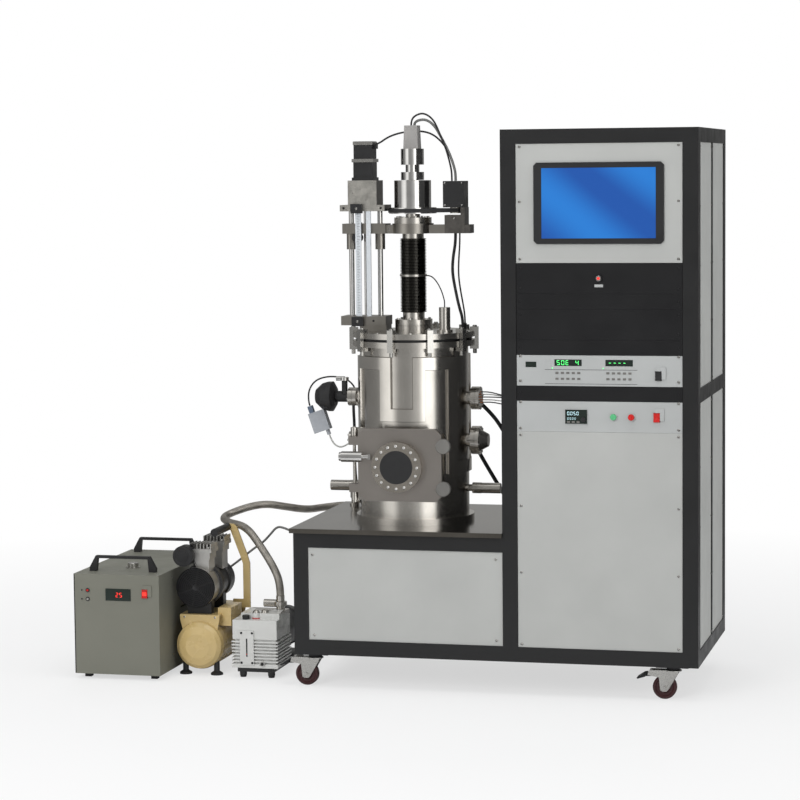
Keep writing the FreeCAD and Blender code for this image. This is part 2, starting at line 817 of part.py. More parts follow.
def make_chamber():
    shell = rod("shell_radius", "flange_top", AXIS + ("table_high",))
    base = rod("base_radius", "base_tall", AXIS + ("table_high",))
    flange = rod("flange_radius", "flange_thick", AXIS + ("flange_high - flange_thick",))
    neck_z = "window_z - neck_tall/2"
    neck = block(("neck_wide", "chamber_y - neck_front", "neck_tall"),
                 ("door_centre_x - neck_wide/2", "neck_front", neck_z))
    hollow = rod("shell_inside", "flange_top - base_tall/2", AXIS + ("table_high + base_tall/2",))
    doorway = block(("neck_wide - 2*neck_wall", "chamber_y - neck_front", "neck_tall - 2*neck_wall"),
                    ("door_centre_x - neck_wide/2 + neck_wall", "neck_front", f"{neck_z} + neck_wall"))
    pump_way = rod("pump_port", "base_tall/2", AXIS + ("table_high",))
    solids = [shell, base, flange, neck]
    bores = [hollow, doorway, pump_way]
    for rise in ("knob_rise", "-knob_rise"):
        solids.append(block(("24", "14", "30"), ("door_centre_x + neck_wide/2", "neck_front", f"window_z + {rise} - 15")))
    for side, reach in (("x", 1), ("x", -1)):
        for z, radius in (("table_high + 371", "port_radius"), ("table_high + 243", "port_radius"),
                          ("drive_z", "port_radius/2")):
            if reach < 0 and z == "table_high + 371":
                radius = "port_radius*0.8"
            start = "chamber_x" if reach > 0 else "chamber_x - shell_radius - 15"
            solids.append(rod(radius, "shell_radius + 15", (start, "chamber_y", z), "x"))
            bores.append(rod(f"{radius} - port_wall", "shell_radius + 15", (start, "chamber_y", z), "x"))
    node("chamber_body", [cut(join(solids), bores)])


def channel(start, stop, low, high):
    """A piece of the cooling channel: a raised band of the shell between two angles and two heights."""
    band = doc.addObject("Part::Cylinder", "band")
    band.setExpression("Radius", bound("shell_radius + channel_proud"))
    band.setExpression("Height", bound(f"({high}) - ({low})"))
    band.setExpression("Angle", bound(f"({stop}) - ({start})"))
    turn = Rotation(Vector(0, 0, 1), value(start) - 90)
    return place(band, AXIS + (low,), turn)


def make_jacket():
    arc = "channel_wide/(shell_radius + channel_proud)*57.3"
    top = "table_high + channel_top"
    mid = "table_high + channel_mid"
    low = "table_high + channel_low"
    bands = []
    for turn in (0, 180):
        bands.append(channel(f"{turn} - 70", f"{turn} - 11", f"{top} - channel_wide", top))
        bands.append(channel(f"{turn} - 11 - {arc}", f"{turn} - 11", mid, top))
        bands.append(channel(f"{turn} - 11 - {arc}", f"{turn} + 12 + {arc}", mid, f"{mid} + channel_wide"))
        bands.append(channel(f"{turn} + 12", f"{turn} + 12 + {arc}", mid, top))
        bands.append(channel(f"{turn} + 12", f"{turn} + 62", f"{top} - channel_wide", top))
        bands.append(channel(f"{turn} + 62 - {arc}", f"{turn} + 62", low, top))
        bands.append(channel(f"{turn} + 62 - {arc}", f"{turn} + 110 + {arc}", low, f"{low} + channel_wide"))
        bands.append(channel(f"{turn} + 110", f"{turn} + 110 + {arc}", low, top))
    core = rod("shell_radius", "flange_top", AXIS + ("table_high",))
    for z in (f"{mid} + channel_wide/2", f"{top} - channel_wide/2"):
        x = "chamber_x" if z.startswith(mid) else "chamber_x + 70"
        bands.append(rod("nipple_radius", "shell_radius + nipple_long", (x, "chamber_y", z), "y"))
    node("cooling_jacket", [cut(join(bands), [core])])


def make_lid():
    plate = rod("flange_radius", "lid_thick", AXIS + ("lid_low",))
    step = rod("shell_radius + 4", "lid_step", AXIS + ("flange_high",))
    bore = rod("lid_port", "lid_thick + lid_step", AXIS + ("flange_high",))
    fitting = ("chamber_x + 110", "chamber_y - 60")
    hub = rod("17", "75", fitting + ("lid_high",))
    foot = rod("24", "8", fitting + ("lid_high",))
    lid = cut(join([plate, step, hub, foot]), [bore], "lid_plate")
    node("chamber_lid", [lid, column_flanges()], False)
    claws = []
    grip = "lid_high - flange_high + flange_thick"
    for i in range(SIZES["clamp_count"]):
        web = block(("clamp_web", "clamp_wide", f"{grip} + 2*clamp_jaw"),
                    ("flange_radius + 0.5", "-clamp_wide/2", "-clamp_jaw"))
        jaws = []
        for z in ("-clamp_jaw", grip):
            jaws.append(block(("14.5 + clamp_web/2", "clamp_wide", "clamp_jaw"), ("flange_radius - 14", "-clamp_wide/2", z)))
        stud = turned(
            [("0", "0"), ("5", "0"), ("6", "1"), ("6", "14"), ("0", "14")],
            ("flange_radius + 1", "0", "-clamp_jaw - 14"), "z", "stud")
        nut = turned(
            [("0", "0"), ("7", "0"), ("7", "3"), ("5", "5"), ("0", "5")],
            ("flange_radius + 1", "0", f"{grip} + clamp_jaw"), "z", "nut")
        claw = join([web, stud, nut] + jaws, "claw")
        turn = Rotation(Vector(0, 0, 1), 360 / SIZES["clamp_count"] * i + SIZES["clamp_phase"])
        claws.append(place(claw, AXIS + ("flange_high - flange_thick",), turn))
    node("lid_clamps", claws, False)


def make_door():
    w, t, r = "door_wide/2", "door_tall/2", "door_round"
    corners = [
        (f"-{w} + {r}", f"-{t}"), (f"{w} - {r}", f"-{t}"), (w, f"-{t} + {r}"), (w, f"{t} - {r}"),
        (f"{w} - {r}", t), (f"-{w} + {r}", t), (f"-{w}", f"{t} - {r}"), (f"-{w}", f"-{t} + {r}")]
    plate = prism("XZ", corners, "door_thick", ("door_centre_x", "door_front", "door_z + door_tall/2"), "door")
    solids = [plate]
    holes = [rod("window_radius", "door_thick", ("door_centre_x - 6", "door_front", "window_z"), "y")]
    for rise in ("knob_rise", "-knob_rise"):
        solids.append(rod("14", "door_thick", ("knob_x", "door_front", f"window_z + {rise}"), "y"))
        holes.append(rod("stud_radius + running_fit", "door_thick", ("knob_x", "door_front", f"window_z + {rise}"), "y"))
    lug_depth = "hinge_y + lug_round - door_front"
    for z in ("door_z + door_tall - lug_tall - 0.5 - lug_tall", "door_z + lug_tall + 0.5"):
        arm = block(("door_x - hinge_x + 20", "door_thick", "lug_tall"), ("hinge_x", "door_front", z))
        ear = block(("2*lug_round", lug_depth + " - lug_round", "lug_tall"), ("hinge_x - lug_round", "door_front", z))
        solids += [arm, ear, rod("lug_round", "lug_tall", ("hinge_x", "hinge_y", z))]
        holes.append(rod("pin_radius + running_fit", "lug_tall", ("hinge_x", "hinge_y", z)))
    drive_y = "door_front - drive_radius + 1"
    drive_rise = "window_z + 30"
    solids.append(rod("drive_radius", "64", ("door_x - 46", drive_y, drive_rise), "x"))
    solids.append(rod("drive_radius - 3", "8", ("door_x - 53", drive_y, drive_rise), "x"))
    solids.append(rod("6", "18", ("door_x + 18", drive_y, drive_rise), "x"))
    solids.append(block(("12", "drive_radius", "16"), ("door_x + 30", drive_y, f"{drive_rise} - 8")))
    node("chamber_door", [cut(join(solids), holes)])

    lugs = []
    for z in ("door_z + door_tall - lug_tall", "door_z"):
        strap = block(("door_centre_x - neck_wide/2 - hinge_x", "lug_round", "lug_tall"), ("hinge_x", "hinge_y", z))
        eye = rod("lug_round", "lug_tall", ("hinge_x", "hinge_y", z))
        lugs.append(cut(join([strap, eye]), [rod("pin_radius", "lug_tall", ("hinge_x", "hinge_y", z))], "lug"))
    pin = turned(
        [("0", "-6"), ("pin_radius + 3", "-6"), ("pin_radius + 3", "0"), ("pin_radius", "0"),
         ("pin_radius", "door_tall + 2"), ("0", "door_tall + 2")],
        ("hinge_x", "hinge_y", "door_z"), "z", "hinge_pin")
    node("door_hinge", lugs + [pin], False)

    window = ("door_centre_x - 6", "door_front", "window_z")
    seat = "glass_radius + 0.3"
    depth = "window_flange_thick"
    frame = turned(
        [("window_radius", f"-{depth}"), ("window_flange", f"-{depth}"), ("window_flange", "0"),
         (seat, "0"), (seat, "-glass_thick"), ("window_radius", "-glass_thick")],
        window, "y", "window_frame")
    node("viewport_flange", [frame])
    glass = rod("glass_radius", "glass_thick - 0.3", ("door_centre_x - 6", "door_front - glass_thick + 0.15", "window_z"), "y")
    node("viewport_glass", [glass])
    for name, rise in (("upper", "knob_rise"), ("lower", "-knob_rise")):
        knob = turned(
            [("0", "0"), ("knob_radius - 2", "0"), ("knob_radius", "2"), ("knob_radius", "knob_thick"),
             ("stud_radius", "knob_thick"), ("stud_radius", "knob_thick + door_thick - 1"),
             ("0", "knob_thick + door_thick - 1")],
            ("knob_x", "door_front - knob_thick - 0.3", f"window_z + {rise}"), "y", "knob")
        node("door_clamp_" + name, [knob])


def flange_pair(x, z, radius, bore, outward):
    """Two bolted vacuum flanges on a port that points left or right."""
    start = x if outward > 0 else f"{x} - 2*flange_plate"
    return turned(
        [(bore, "0"), (radius, "0"), (radius, "flange_plate - 0.5"), (f"{radius} - 2", "flange_plate"),
         (radius, "flange_plate + 0.5"), (radius, "2*flange_plate"), (bore, "2*flange_plate")],
        (start, "chamber_y", z), "x", "flange_pair")


def make_ports():
    right = "chamber_x + shell_radius + 15"
    left = "chamber_x - shell_radius - 15"
    fittings = [flange_pair(right, "table_high + 371", "small_flange", "0", 1)]
    fittings.append(flange_pair(right, "table_high + 243", "wide_flange", "0", 1))
    fittings.append(flange_pair(left, "table_high + 371", "small_flange*0.8", "0", -1))
    fittings.append(flange_pair(left, "table_high + 243", "small_flange*0.6", "0", -1))
    bore = "shaft_radius + running_fit"
    fittings.append(flange_pair(left, "drive_z", "port_radius*0.8", bore, -1))
    fittings.append(flange_pair(right, "drive_z", "port_radius*0.8", bore, 1))
    fittings.append(cone("wide_flange*0.75", "wide_flange*0.45", "24",
                         (f"{right} + 2*flange_plate", "chamber_y", "table_high + 243"), "x"))
    fittings.append(rod("drive_radius", "drive_long", (f"{right} + 2*flange_plate", "chamber_y", "drive_z"), "x"))
    bulkhead = turned(
        [("0", "0"), ("15", "0"), ("15", "6"), ("10", "8"), ("10", "22"), ("13", "24"), ("13", "46"), ("0", "46")],
        ("41", "560", "table_high"), "z", "bulkhead")
    fittings.append(join([bulkhead, rod("7", "28", ("41", "560", "table_high + 14"), "x")]))
    node("port_fittings", fittings, False)

    gauge_x = f"{left} - 2*flange_plate"
    z = "table_high + 371"
    tail = rod("drive_radius + 1", "46", (f"{gauge_x} - 46", "chamber_y", z), "x")
    dome = turned(
        [("0", "0"), ("22", "0"), ("40", "20"), ("46", "40"), ("46", "52"), ("30", "62"), ("0", "62")],
        (f"{gauge_x} - 104", "chamber_y", z), "x", "dome")
    stem = rod("9", "50", (f"{left} - 38", "chamber_y - 9", f"{z} + 8"), "z")
    collar = rod("13", "10", (f"{left} - 38", "chamber_y - 9", f"{z} + 50"), "z")
    cap = rod("7", "26", (f"{left} - 64", "chamber_y - 9", f"{z} + 56"), "x")
    node("vacuum_gauge", [join([tail, dome, stem, collar, cap], "gauge_head"), gauge_amplifier()], False)


def gauge_amplifier():
    """A small box that hangs from the gauge's cable, with its plugs."""
    box = block(("52", "30", "64"), ("-26", "-15", "-32"))
    plugs = [block(("14", "18", "22"), ("-22", "-9", "32")), rod("6", "16", ("14", "0", "-48"))]
    whole = join([box] + plugs, "amplifier")
    return place(whole, ("8", "chamber_y", "774"), Rotation(Vector(0, 1, 0), -19))


def make_sources():
    floor = "table_high + base_tall/2"
    plate = annulus("pump_port + 6", "shell_inside - 6", "source_plate", AXIS + (floor,), "source_plate")
    pieces = [plate]
    posts = []
    for side in (-1, 1):
        x = f"chamber_x + {side}*118"
        for y in ("boat_y - boat_long/2", "boat_y + boat_long/2"):
            posts.append(rod("electrode_radius", "electrode_tall", (x, y, f"{floor} + source_plate")))
        boat = block(("boat_wide", "boat_long", "3"),
                     (f"{x} - boat_wide/2", "boat_y - boat_long/2", f"{floor} + source_plate + electrode_tall"))
        posts.append(boat)
    node("vapour_sources", [join([plate] + posts)])

    sleeve_x = "chamber_x - shell_radius - 15 - 2*flange_plate - drive_long"
    sleeve = rod("drive_radius", "drive_long - 0.4", (sleeve_x, "chamber_y", "drive_z"), "x")
    shaft = rod("shaft_radius", "drive_long + 2*flange_plate + 76", (f"{sleeve_x} + 10", "chamber_y", "drive_z"), "x")
    blade = block(("shutter_wide", "2*boat_offset - 8", "2"),
                  ("chamber_x - 118 - shutter_wide/2", "chamber_y - 4", "drive_z + shaft_radius - 1"))
    node("source_shutter", [sleeve, shaft, blade])


def make_turbo():
    valve = block(("valve_wide", "valve_wide*0.8", "valve_tall"),
                  ("chamber_x - valve_wide*0.4", "chamber_y - valve_wide*0.4", "bench_high - valve_tall"))
    turbo = turned(
        [("0", "0"), ("turbo_radius*0.8", "0"), ("turbo_radius*0.8", "turbo_tall*0.4"),
         ("turbo_radius", "turbo_tall*0.45"), ("turbo_radius", "turbo_tall - 20"),
         ("turbo_radius + 8", "turbo_tall - 20"), ("turbo_radius + 8", "turbo_tall"), ("0", "turbo_tall")],
        AXIS + ("bench_high - valve_tall - turbo_tall",), "z", "turbo")
    foreline = rod("hose_radius + 2", "frame_deep + 16 - chamber_y - turbo_radius/2",
                   ("chamber_x", "chamber_y + turbo_radius/2", "bench_high - foreline_drop"), "y")
    rim = rod("hose_radius + 8", "8", ("chamber_x", "frame_deep + 8", "bench_high - foreline_drop"), "y")
    node("high_vacuum_pump", [join([valve, turbo, foreline, rim])])


# Lift on the lid

def lift_plate(z, tall, wide="lift_plate_wide", deep="lift_plate_deep"):
    return block((wide, deep, tall), (f"lift_x - ({wide})/2", f"chamber_y - ({deep})/2", z))


def make_lift():
    screw_way = rod("screw_radius + screw_play", "lift_base_tall/2", ("lift_x", "chamber_y", "lift_low - lift_base_tall/2"))
    stand = block(("stand_wide", "lift_plate_deep - 20", "stand_tall"),
                  ("lift_x + lift_plate_wide/2 - stand_wide", "chamber_y - lift_plate_deep/2 + 10", "lid_high"))
    base = cut(lift_plate("lift_base_z", "lift_base_tall"), [screw_way], "lift_base")
    head_hole = rod("screw_radius + screw_play", "lift_plate_tall + head_tall", ("lift_x", "chamber_y", "lift_high"))
    top = lift_plate("lift_high", "lift_plate_tall")
    head = block(("head_wide", "head_deep", "head_tall"),
                 ("lift_x - head_wide/2", "chamber_y - head_deep/2", "head_z"))
    head_hollow = block(("head_wide - 20", "head_deep", "head_tall - lift_plate_tall - 20"),
                        ("lift_x - head_wide/2 + 10", "chamber_y - head_deep/2 + 10", "head_z + lift_plate_tall + 8"))
    upper = cut(join([top, head]), [head_hole, head_hollow], "lift_head")
    guides = []
    for side in ("-", "+"):
        guides.append(rod("guide_radius", "lift_gap", (f"lift_x {side} guide_spread", "chamber_y", "lift_low")))
    scale = block(("18", "3", "lift_gap"), ("lift_x - 22", "chamber_y - lift_plate_deep/2", "lift_low"))
    bar = block(("14", "6", "lift_gap"), ("lift_x + 12", "chamber_y - lift_plate_deep/2", "lift_low"))
    switches = []
    for z in ("lift_base_z - 2", "lift_high - 6"):
        switches.append(block(("36", "12", "28"), ("lift_x - 34", "chamber_y - lift_plate_deep/2 - 12", z)))
    node("lift_frame", [stand, base, upper, scale, bar] + guides + switches, False)

    top_z = "head_z + head_tall"
    flange = block(("coupling_wide + 8", "coupling_wide + 8", "9"),
                   ("lift_x - coupling_wide/2 - 4", "chamber_y - coupling_wide/2 - 4", top_z))
    coupling = block(("coupling_wide", "coupling_wide", "coupling_tall"),
                     ("lift_x - coupling_wide/2", "chamber_y - coupling_wide/2", top_z))
    collar = block(("coupling_wide + 8", "coupling_wide + 8", "10"),
                   ("lift_x - coupling_wide/2 - 4", "chamber_y - coupling_wide/2 - 4", f"{top_z} + coupling_tall"))
    motor = block(("motor_wide", "motor_wide", "motor_tall"),
                  ("lift_x - motor_wide/2", "chamber_y - motor_wide/2", f"{top_z} + coupling_tall"))
    socket = block(("12", "20", "14"), ("lift_x + motor_wide/2 - 2", "chamber_y - 10", f"{top_z} + coupling_tall + 40"))
    node("lift_motor", [join([flange, coupling, collar, motor, socket])])

    screw = turned(
        [("0", "0"), ("screw_radius", "0"), ("screw_radius", "lift_gap + lift_base_tall/2 + lift_plate_tall + 8"),
         ("0", "lift_gap + lift_base_tall/2 + lift_plate_tall + 8")],
        ("lift_x", "chamber_y", "lift_low - lift_base_tall/2 + 0.3"), "z", "screw")
    node("lead_screw", [screw])


def make_carriage():
    w, d = "lift_plate_wide/2", "carriage_deep/2"
    left = prism(
        "XY", [(f"-{w} + 16", f"-{d}"), (w, f"-{d}"), (w, d), (f"-{w} + 16", d),
               (f"-{w} + 4", f"{d} - 6"), (f"-{w}", f"{d} - 18"), (f"-{w}", f"-{d} + 18"), (f"-{w} + 4", f"-{d} + 6")],
        "carriage_tall", ("lift_x", "chamber_y", "carriage_z"), "carriage_left")
    pointer = block(("16", "4.5", "52"), ("lift_x - 18", "chamber_y - carriage_deep/2 - 4.5", "carriage_z - 18"))
    pointer_foot = rod("14", "30", ("lift_x - 20", "chamber_y - carriage_deep/2 - 3", "carriage_z - 12"), "y")
    boss = rod("column_flange + 6", "carriage_tall", AXIS + ("carriage_z",))
    arm = block(("chamber_x - lift_x + arm_reach", "arm_deep", "carriage_tall - 4"),
                ("lift_x", "chamber_y - arm_deep/2", "carriage_z"))
    bracket = block(("62", "60", "drive_top - carriage_z"),
                    ("drive_x - 28", "chamber_y - 30", "carriage_z"))
    slot = block(("40 + drive_pulley + belt_thick + 2", "62", "drive_top - pulley_z + 5"),
                 ("drive_x - 40", "chamber_y - 31", "pulley_z - 5"))
    bearings = []
    bores = [rod("screw_radius + screw_play", "carriage_tall", ("lift_x", "chamber_y", "carriage_z"))]
    for side in ("-", "+"):
        x = f"lift_x {side} guide_spread"
        bearings.append(rod("bearing_radius", "bearing_long", (x, "chamber_y", "carriage_high - bearing_long")))
        bores.append(rod("guide_radius + bearing_play", "bearing_long", (x, "chamber_y", "carriage_high - bearing_long")))
    column = rod("cuff_radius", "carriage_tall", AXIS + ("carriage_z",))
    solids = [left, boss, arm, bracket, pointer, pointer_foot] + bearings
    node("lift_carriage", [cut(join(solids), bores + [column, slot])])

    neck_low = "carriage_z - seal_flange_z - 14"
    seal_low = "seal_flange_z"
    bush = "rotor_shaft + running_fit"
    seal = turned(
        [(bush, neck_low), ("cuff_radius - 0.5", neck_low), ("cuff_radius - 0.5", "0"),
         ("column_flange", "0"), ("column_flange", "column_flange_thick"),
         ("seal_radius + 4", "column_flange_thick"), ("seal_radius + 4", "pulley_z - seal_flange_z - 2"),
         ("seal_radius", "pulley_z - seal_flange_z - 2"), ("seal_radius", "top_z - seal_flange_z + 1"),
         ("top_flange", "top_z - seal_flange_z + 1"), ("top_flange", "top_z - seal_flange_z + 25"),
         ("top_neck", "top_z - seal_flange_z + 25"), ("top_neck", "top_z - seal_flange_z + 47"),
         ("top_flange", "top_z - seal_flange_z + 47"), ("top_flange", "top_z - seal_flange_z + 95"),
         ("seal_bore", "top_z - seal_flange_z + 95"),
         ("seal_bore", "top_z - seal_flange_z - 14"), (bush, "top_z - seal_flange_z - 14"),
         (bush, "top_z - seal_flange_z - 30"), ("seal_bore", "top_z - seal_flange_z - 30"),
         ("seal_bore", f"{neck_low} + 20"), (bush, f"{neck_low} + 20")],
        AXIS + (seal_low,), "z", "seal_tube")
    plug = doc.addObject("Part::Wedge", "plug")
    for name, text in (("Xmax", "plug_wide"), ("Ymax", "plug_tall"), ("Zmax", "plug_wide"),
                       ("X2min", "(plug_wide - plug_top)/2"), ("X2max", "(plug_wide + plug_top)/2"),
                       ("Z2min", "(plug_wide - plug_top)/2"), ("Z2max", "(plug_wide + plug_top)/2")):
        plug.setExpression(name, bound(text))
    place(plug, ("chamber_x - plug_wide/2", "chamber_y + plug_wide/2", "top_z + 85"), Rotation(Vector(1, 0, 0), 90))
    node("rotary_feedthrough", [join([seal, plug])])

    motor = block(("drive_motor", "drive_motor", "drive_motor_tall"),
                  ("drive_x - drive_motor/2", "chamber_y - drive_motor/2", "drive_top"))
    shaft_way = rod("shaft_radius + running_fit", "20", ("drive_x", "chamber_y", "drive_top"))
    node("rotation_motor", [cut(motor, [shaft_way])])
    wheel = turned(
        [("0", "0"), ("drive_pulley", "0"), ("drive_pulley", "pulley_tall - 0.5"),
         ("shaft_radius", "pulley_tall - 0.5"), ("shaft_radius", "pulley_tall + 15"), ("0", "pulley_tall + 15")],
        ("drive_x", "chamber_y", "pulley_z"), "z", "small_pulley")
    node("motor_pulley", [wheel])

    drum = turned(
        [("seal_radius + running_fit", "0"), ("pulley_radius", "0"), ("pulley_radius", "pulley_tall"),
         ("drum_radius", "pulley_tall"), ("drum_radius", "pulley_tall + drum_tall"),
         ("seal_radius + running_fit", "pulley_tall + drum_tall")],
        AXIS + ("pulley_z",), "z", "drum")
    node("drive_drum", [drum])

    holder_z = "table_high + holder_rise"
    rotor = turned(
        [("0", "0"), ("holder_radius", "0"), ("holder_radius", "holder_thick"), ("18", "holder_thick"),
         ("rotor_shaft", "24"), ("rotor_shaft", "top_z - (table_high + holder_rise) - 12"),
         ("0", "top_z - (table_high + holder_rise) - 12")],
        AXIS + (holder_z,), "z", "rotor")
    node("substrate_rotor", [rotor])


def make_belt():
    """A flat belt round the drum's pulley and the motor's pulley, open between them."""
    def loop(big, small):
        span = value("drive_x - chamber_x")
        lean = math.acos((big - small) / span)
        centre = Vector(0, 0, 0)
        far = Vector(span, 0, 0)
        up = Vector(math.cos(lean), math.sin(lean), 0)
        down = Vector(math.cos(lean), -math.sin(lean), 0)
        edges = [
            Part.Arc(centre + up * big, centre - Vector(big, 0, 0), centre + down * big).toShape(),
            Part.LineSegment(centre + down * big, far + down * small).toShape(),
            Part.Arc(far + down * small, far + Vector(small, 0, 0), far + up * small).toShape(),
            Part.LineSegment(far + up * small, centre + up * big).toShape()]
        return Part.Face(Part.Wire(edges))

    gap = value("belt_gap")
    thick = value("belt_thick")
    outer = loop(value("pulley_radius") + gap + thick, value("drive_pulley") + gap + thick)
    inner = loop(value("pulley_radius") + gap, value("drive_pulley") + gap)
    belt = doc.addObject("Part::Feature", "belt")
    belt.Shape = outer.cut(inner).extrude(Vector(0, 0, value("belt_wide")))
    place(belt, AXIS + ("pulley_z + (pulley_tall - belt_wide)/2",))
    node("drive_belt", [belt])


def column_flanges():
    flange_z = "lid_high"
    flanges = turned(
        [("lid_port", "0"), ("column_flange", "0"), ("column_flange", "column_flange_thick - 0.5"),
         ("column_flange - 2", "column_flange_thick"), ("column_flange", "column_flange_thick + 0.5"),
         ("column_flange", "2*column_flange_thick"), ("lid_port", "2*column_flange_thick")],
        AXIS + (flange_z,), "z", "column_flanges")
    return flanges


def make_bellows():
    low = "lid_high + 2*column_flange_thick"
    whole = "bellows_high - lid_high - 2*column_flange_thick"
    inside = "bellows_radius - bellows_wall"
    tall = f"({whole})"
    mid = f"({whole} + cuff_tall)/2"
    bellows = turned(
        [("cuff_radius - 2", "0"), ("cuff_radius", "0"), ("cuff_radius", "cuff_tall"),
         ("bellows_radius", "cuff_tall"), ("bellows_radius", f"{mid} - ring_tall/2"),
         ("bellows_radius + 1.5", f"{mid} - ring_tall/2"), ("bellows_radius + 1.5", f"{mid} + ring_tall/2"),
         ("bellows_radius", f"{mid} + ring_tall/2"), ("bellows_radius", tall), ("cuff_radius - 2", tall)],
        AXIS + (low,), "z", "bellows_turned")
    node("bellows", [bellows])


# Chiller

def make_chiller():
    x, y, z = "chiller_x", "chiller_y", "chiller_foot"
    case = block(("chiller_wide", "chiller_deep", "chiller_tall"), (x, y, z))
    hollow = block(("chiller_wide - 3", "chiller_deep - 3", "chiller_tall - 3"),
                   (f"{x} + 1.5", f"{y} + 1.5", f"{z} + 1.5"))
    rocker_x = "chiller_x + 229"
    rocker_z = "chiller_foot + 252"
    hole = block(("rocker_wide + 2*rocker_play", "8", "rocker_tall + 2*rocker_play"),
                 (f"{rocker_x} - rocker_wide/2 - rocker_play", f"{y} - 3", f"{rocker_z} - rocker_tall/2 - rocker_play"))
    rim = "rocker_play + rocker_frame"
    rim_block = block((f"rocker_wide + 2*({rim})", "button_ring", f"rocker_tall + 2*({rim})"),
                      (f"{rocker_x} - rocker_wide/2 - {rim}", f"{y} - button_ring", f"{rocker_z} - rocker_tall/2 - {rim}"))
    louvres = []
    for i in range(9):
        louvres.append(block(
            ("4", "150", "5"), (f"{x} + chiller_wide - 2", f"{y} + 200", f"{z} + 34 + {i}*24")))
    shell = cut(join([case, rim_block]), [hollow, hole] + louvres, "chiller_shell")
    feet = []
    for fx in (f"{x} + 20", f"{x} + chiller_wide - 40"):
        for fy in (f"{y} + 30", f"{y} + chiller_deep - 50"):
            feet.append(block(("20", "20", "chiller_foot"), (fx, fy, "0")))
    bars = []
    top = f"{z} + chiller_tall"
    for fy in ("chiller_y + 60", "chiller_y + chiller_deep - 60"):
        side = "chiller_wide/2 - 30"
        rise = "handle_rise"
        bars.append(prism(
            "XZ", [(f"-({side})", "0"), (f"-({side}) + 22", "0"), (f"-({side}) + 26", f"{rise} - handle_bar"),
                   (f"{side} - 26", f"{rise} - handle_bar"), (f"{side} - 22", "0"), (side, "0"),
                   (side, "12"), (f"{side} - 20", rise), (f"-({side}) + 20", rise), (f"-({side})", "12")],
            "handle_bar*2", (f"{x} + chiller_wide/2", fy, top), "handle"))
    node("chiller_case", [shell] + feet + bars, False)
    rocker("chiller_rocker", rocker_x, rocker_z, f"{y} - button_ring")


def cylinder_head(x, y, z):
    """A cooled cylinder head: a block under seven thin fins that run front to back."""
    slab = block(("70", "70", "12"), (f"{x} - 35", f"{y} - 4", f"{z} + 20"))
    pieces = [block(("58", "62", "22"), (f"{x} - 29", y, z)), slab]
    for i in range(7):
        pieces.append(block(("3", "66", "18"), (f"{x} - 34 + {i}*10.8", f"{y} - 2", f"{z} + 30")))
    return pieces


def make_compressor():
    x, y = "tank_x", "tank_y"
    r = "tank_radius"
    tank = turned(
        [("0", "0"), (f"{r}*0.5", "2"), (f"{r}*0.8", "9"), (f"{r}*0.95", "20"), (r, "36"), (r, "tank_long - 36"),
         (f"{r}*0.95", "tank_long - 20"), (f"{r}*0.8", "tank_long - 9"), (f"{r}*0.5", "tank_long - 2"),
         ("0", "tank_long")],
        (x, y, "tank_z"), "y", "tank")
    deck = block(("126", "tank_long - 80", "5"), (f"{x} - 63", f"{y} + 30", "deck_z + 10"))
    saddle = [("-63", "0"), ("-56", "-30"), ("56", "-30"), ("63", "0"), ("63", "12"), ("-63", "12")]
    saddles = []
    for back in ("30", "tank_long - 56"):
        saddles.append(prism("XZ", saddle, "6", (x, f"{y} + {back}", "deck_z"), "saddle"))
    feet = []
    for fx in ("-50", "50"):
        for fy in (f"{y} + 40", f"{y} + tank_long - 50"):
            feet.append(turned(
                [("0", "0"), ("19", "0"), ("19", "5"), ("9", "12"), ("9", "44"), ("0", "44")],
                (f"{x} + {fx}", fy, "0"), "z", "foot"))
    motor = turned(
        [("0", "0"), ("fan_radius", "0"), ("fan_radius", "10"), ("fan_radius - 4", "12"), ("fan_radius - 4", "70"),
         ("fan_radius + 3", "72"), ("fan_radius + 3", "88"), ("fan_radius - 8", "92"),
         ("fan_radius - 8", "170"), ("fan_radius - 3", "174"), ("fan_radius - 3", "214"), ("0", "220")],
        (f"{x} - 8", f"{y} + 20", "fan_z"), "y", "compressor_motor")
    cradle = []
    for back in ("50", "170"):
        cradle.append(block(("76", "30", "fan_z - deck_z - 30"), (f"{x} - 44", f"{y} + {back}", "deck_z + 14")))
    barrels = []
    for dx, back, rise in (("4", "42", "86"), ("12", "150", "95")):
        barrels.append(block(("50", "56", f"{rise} - 36"), (f"{x} + {dx} - 25", f"{y} + {back}", "fan_z + 40")))
        barrels += cylinder_head(f"{x} + {dx}", f"{y} + {back} - 3", f"fan_z + {rise}")
    intake = rod("32", "40", (f"{x} - 46", f"{y} + 14", "fan_z + 97"), "y")
    neck = rod("9", "24", (f"{x} - 46", f"{y} + 52", "fan_z + 97"), "y")
    box = block(("42", "110", "56"), (f"{x} + 50", f"{y} + 60", "deck_z - 22"))
    strap = prism(
        "XZ", [("50", "10"), ("106", "10"), ("106", "150"), ("98", "176"), ("66", "262"), ("54", "273"),
               ("28", "273"), ("28", "256"), ("44", "254"), ("76", "172"), ("84", "148"), ("84", "36"), ("50", "36")],
        "8", (x, f"{y} + 214", "deck_z"), "strap")
    grip = rod("12", "142", (f"{x} + 35", f"{y} + 80", "deck_z + 263"), "y")
    node("air_compressor", [join([tank, deck, motor, intake, neck, box, strap, grip] + saddles + feet + cradle + barrels)])


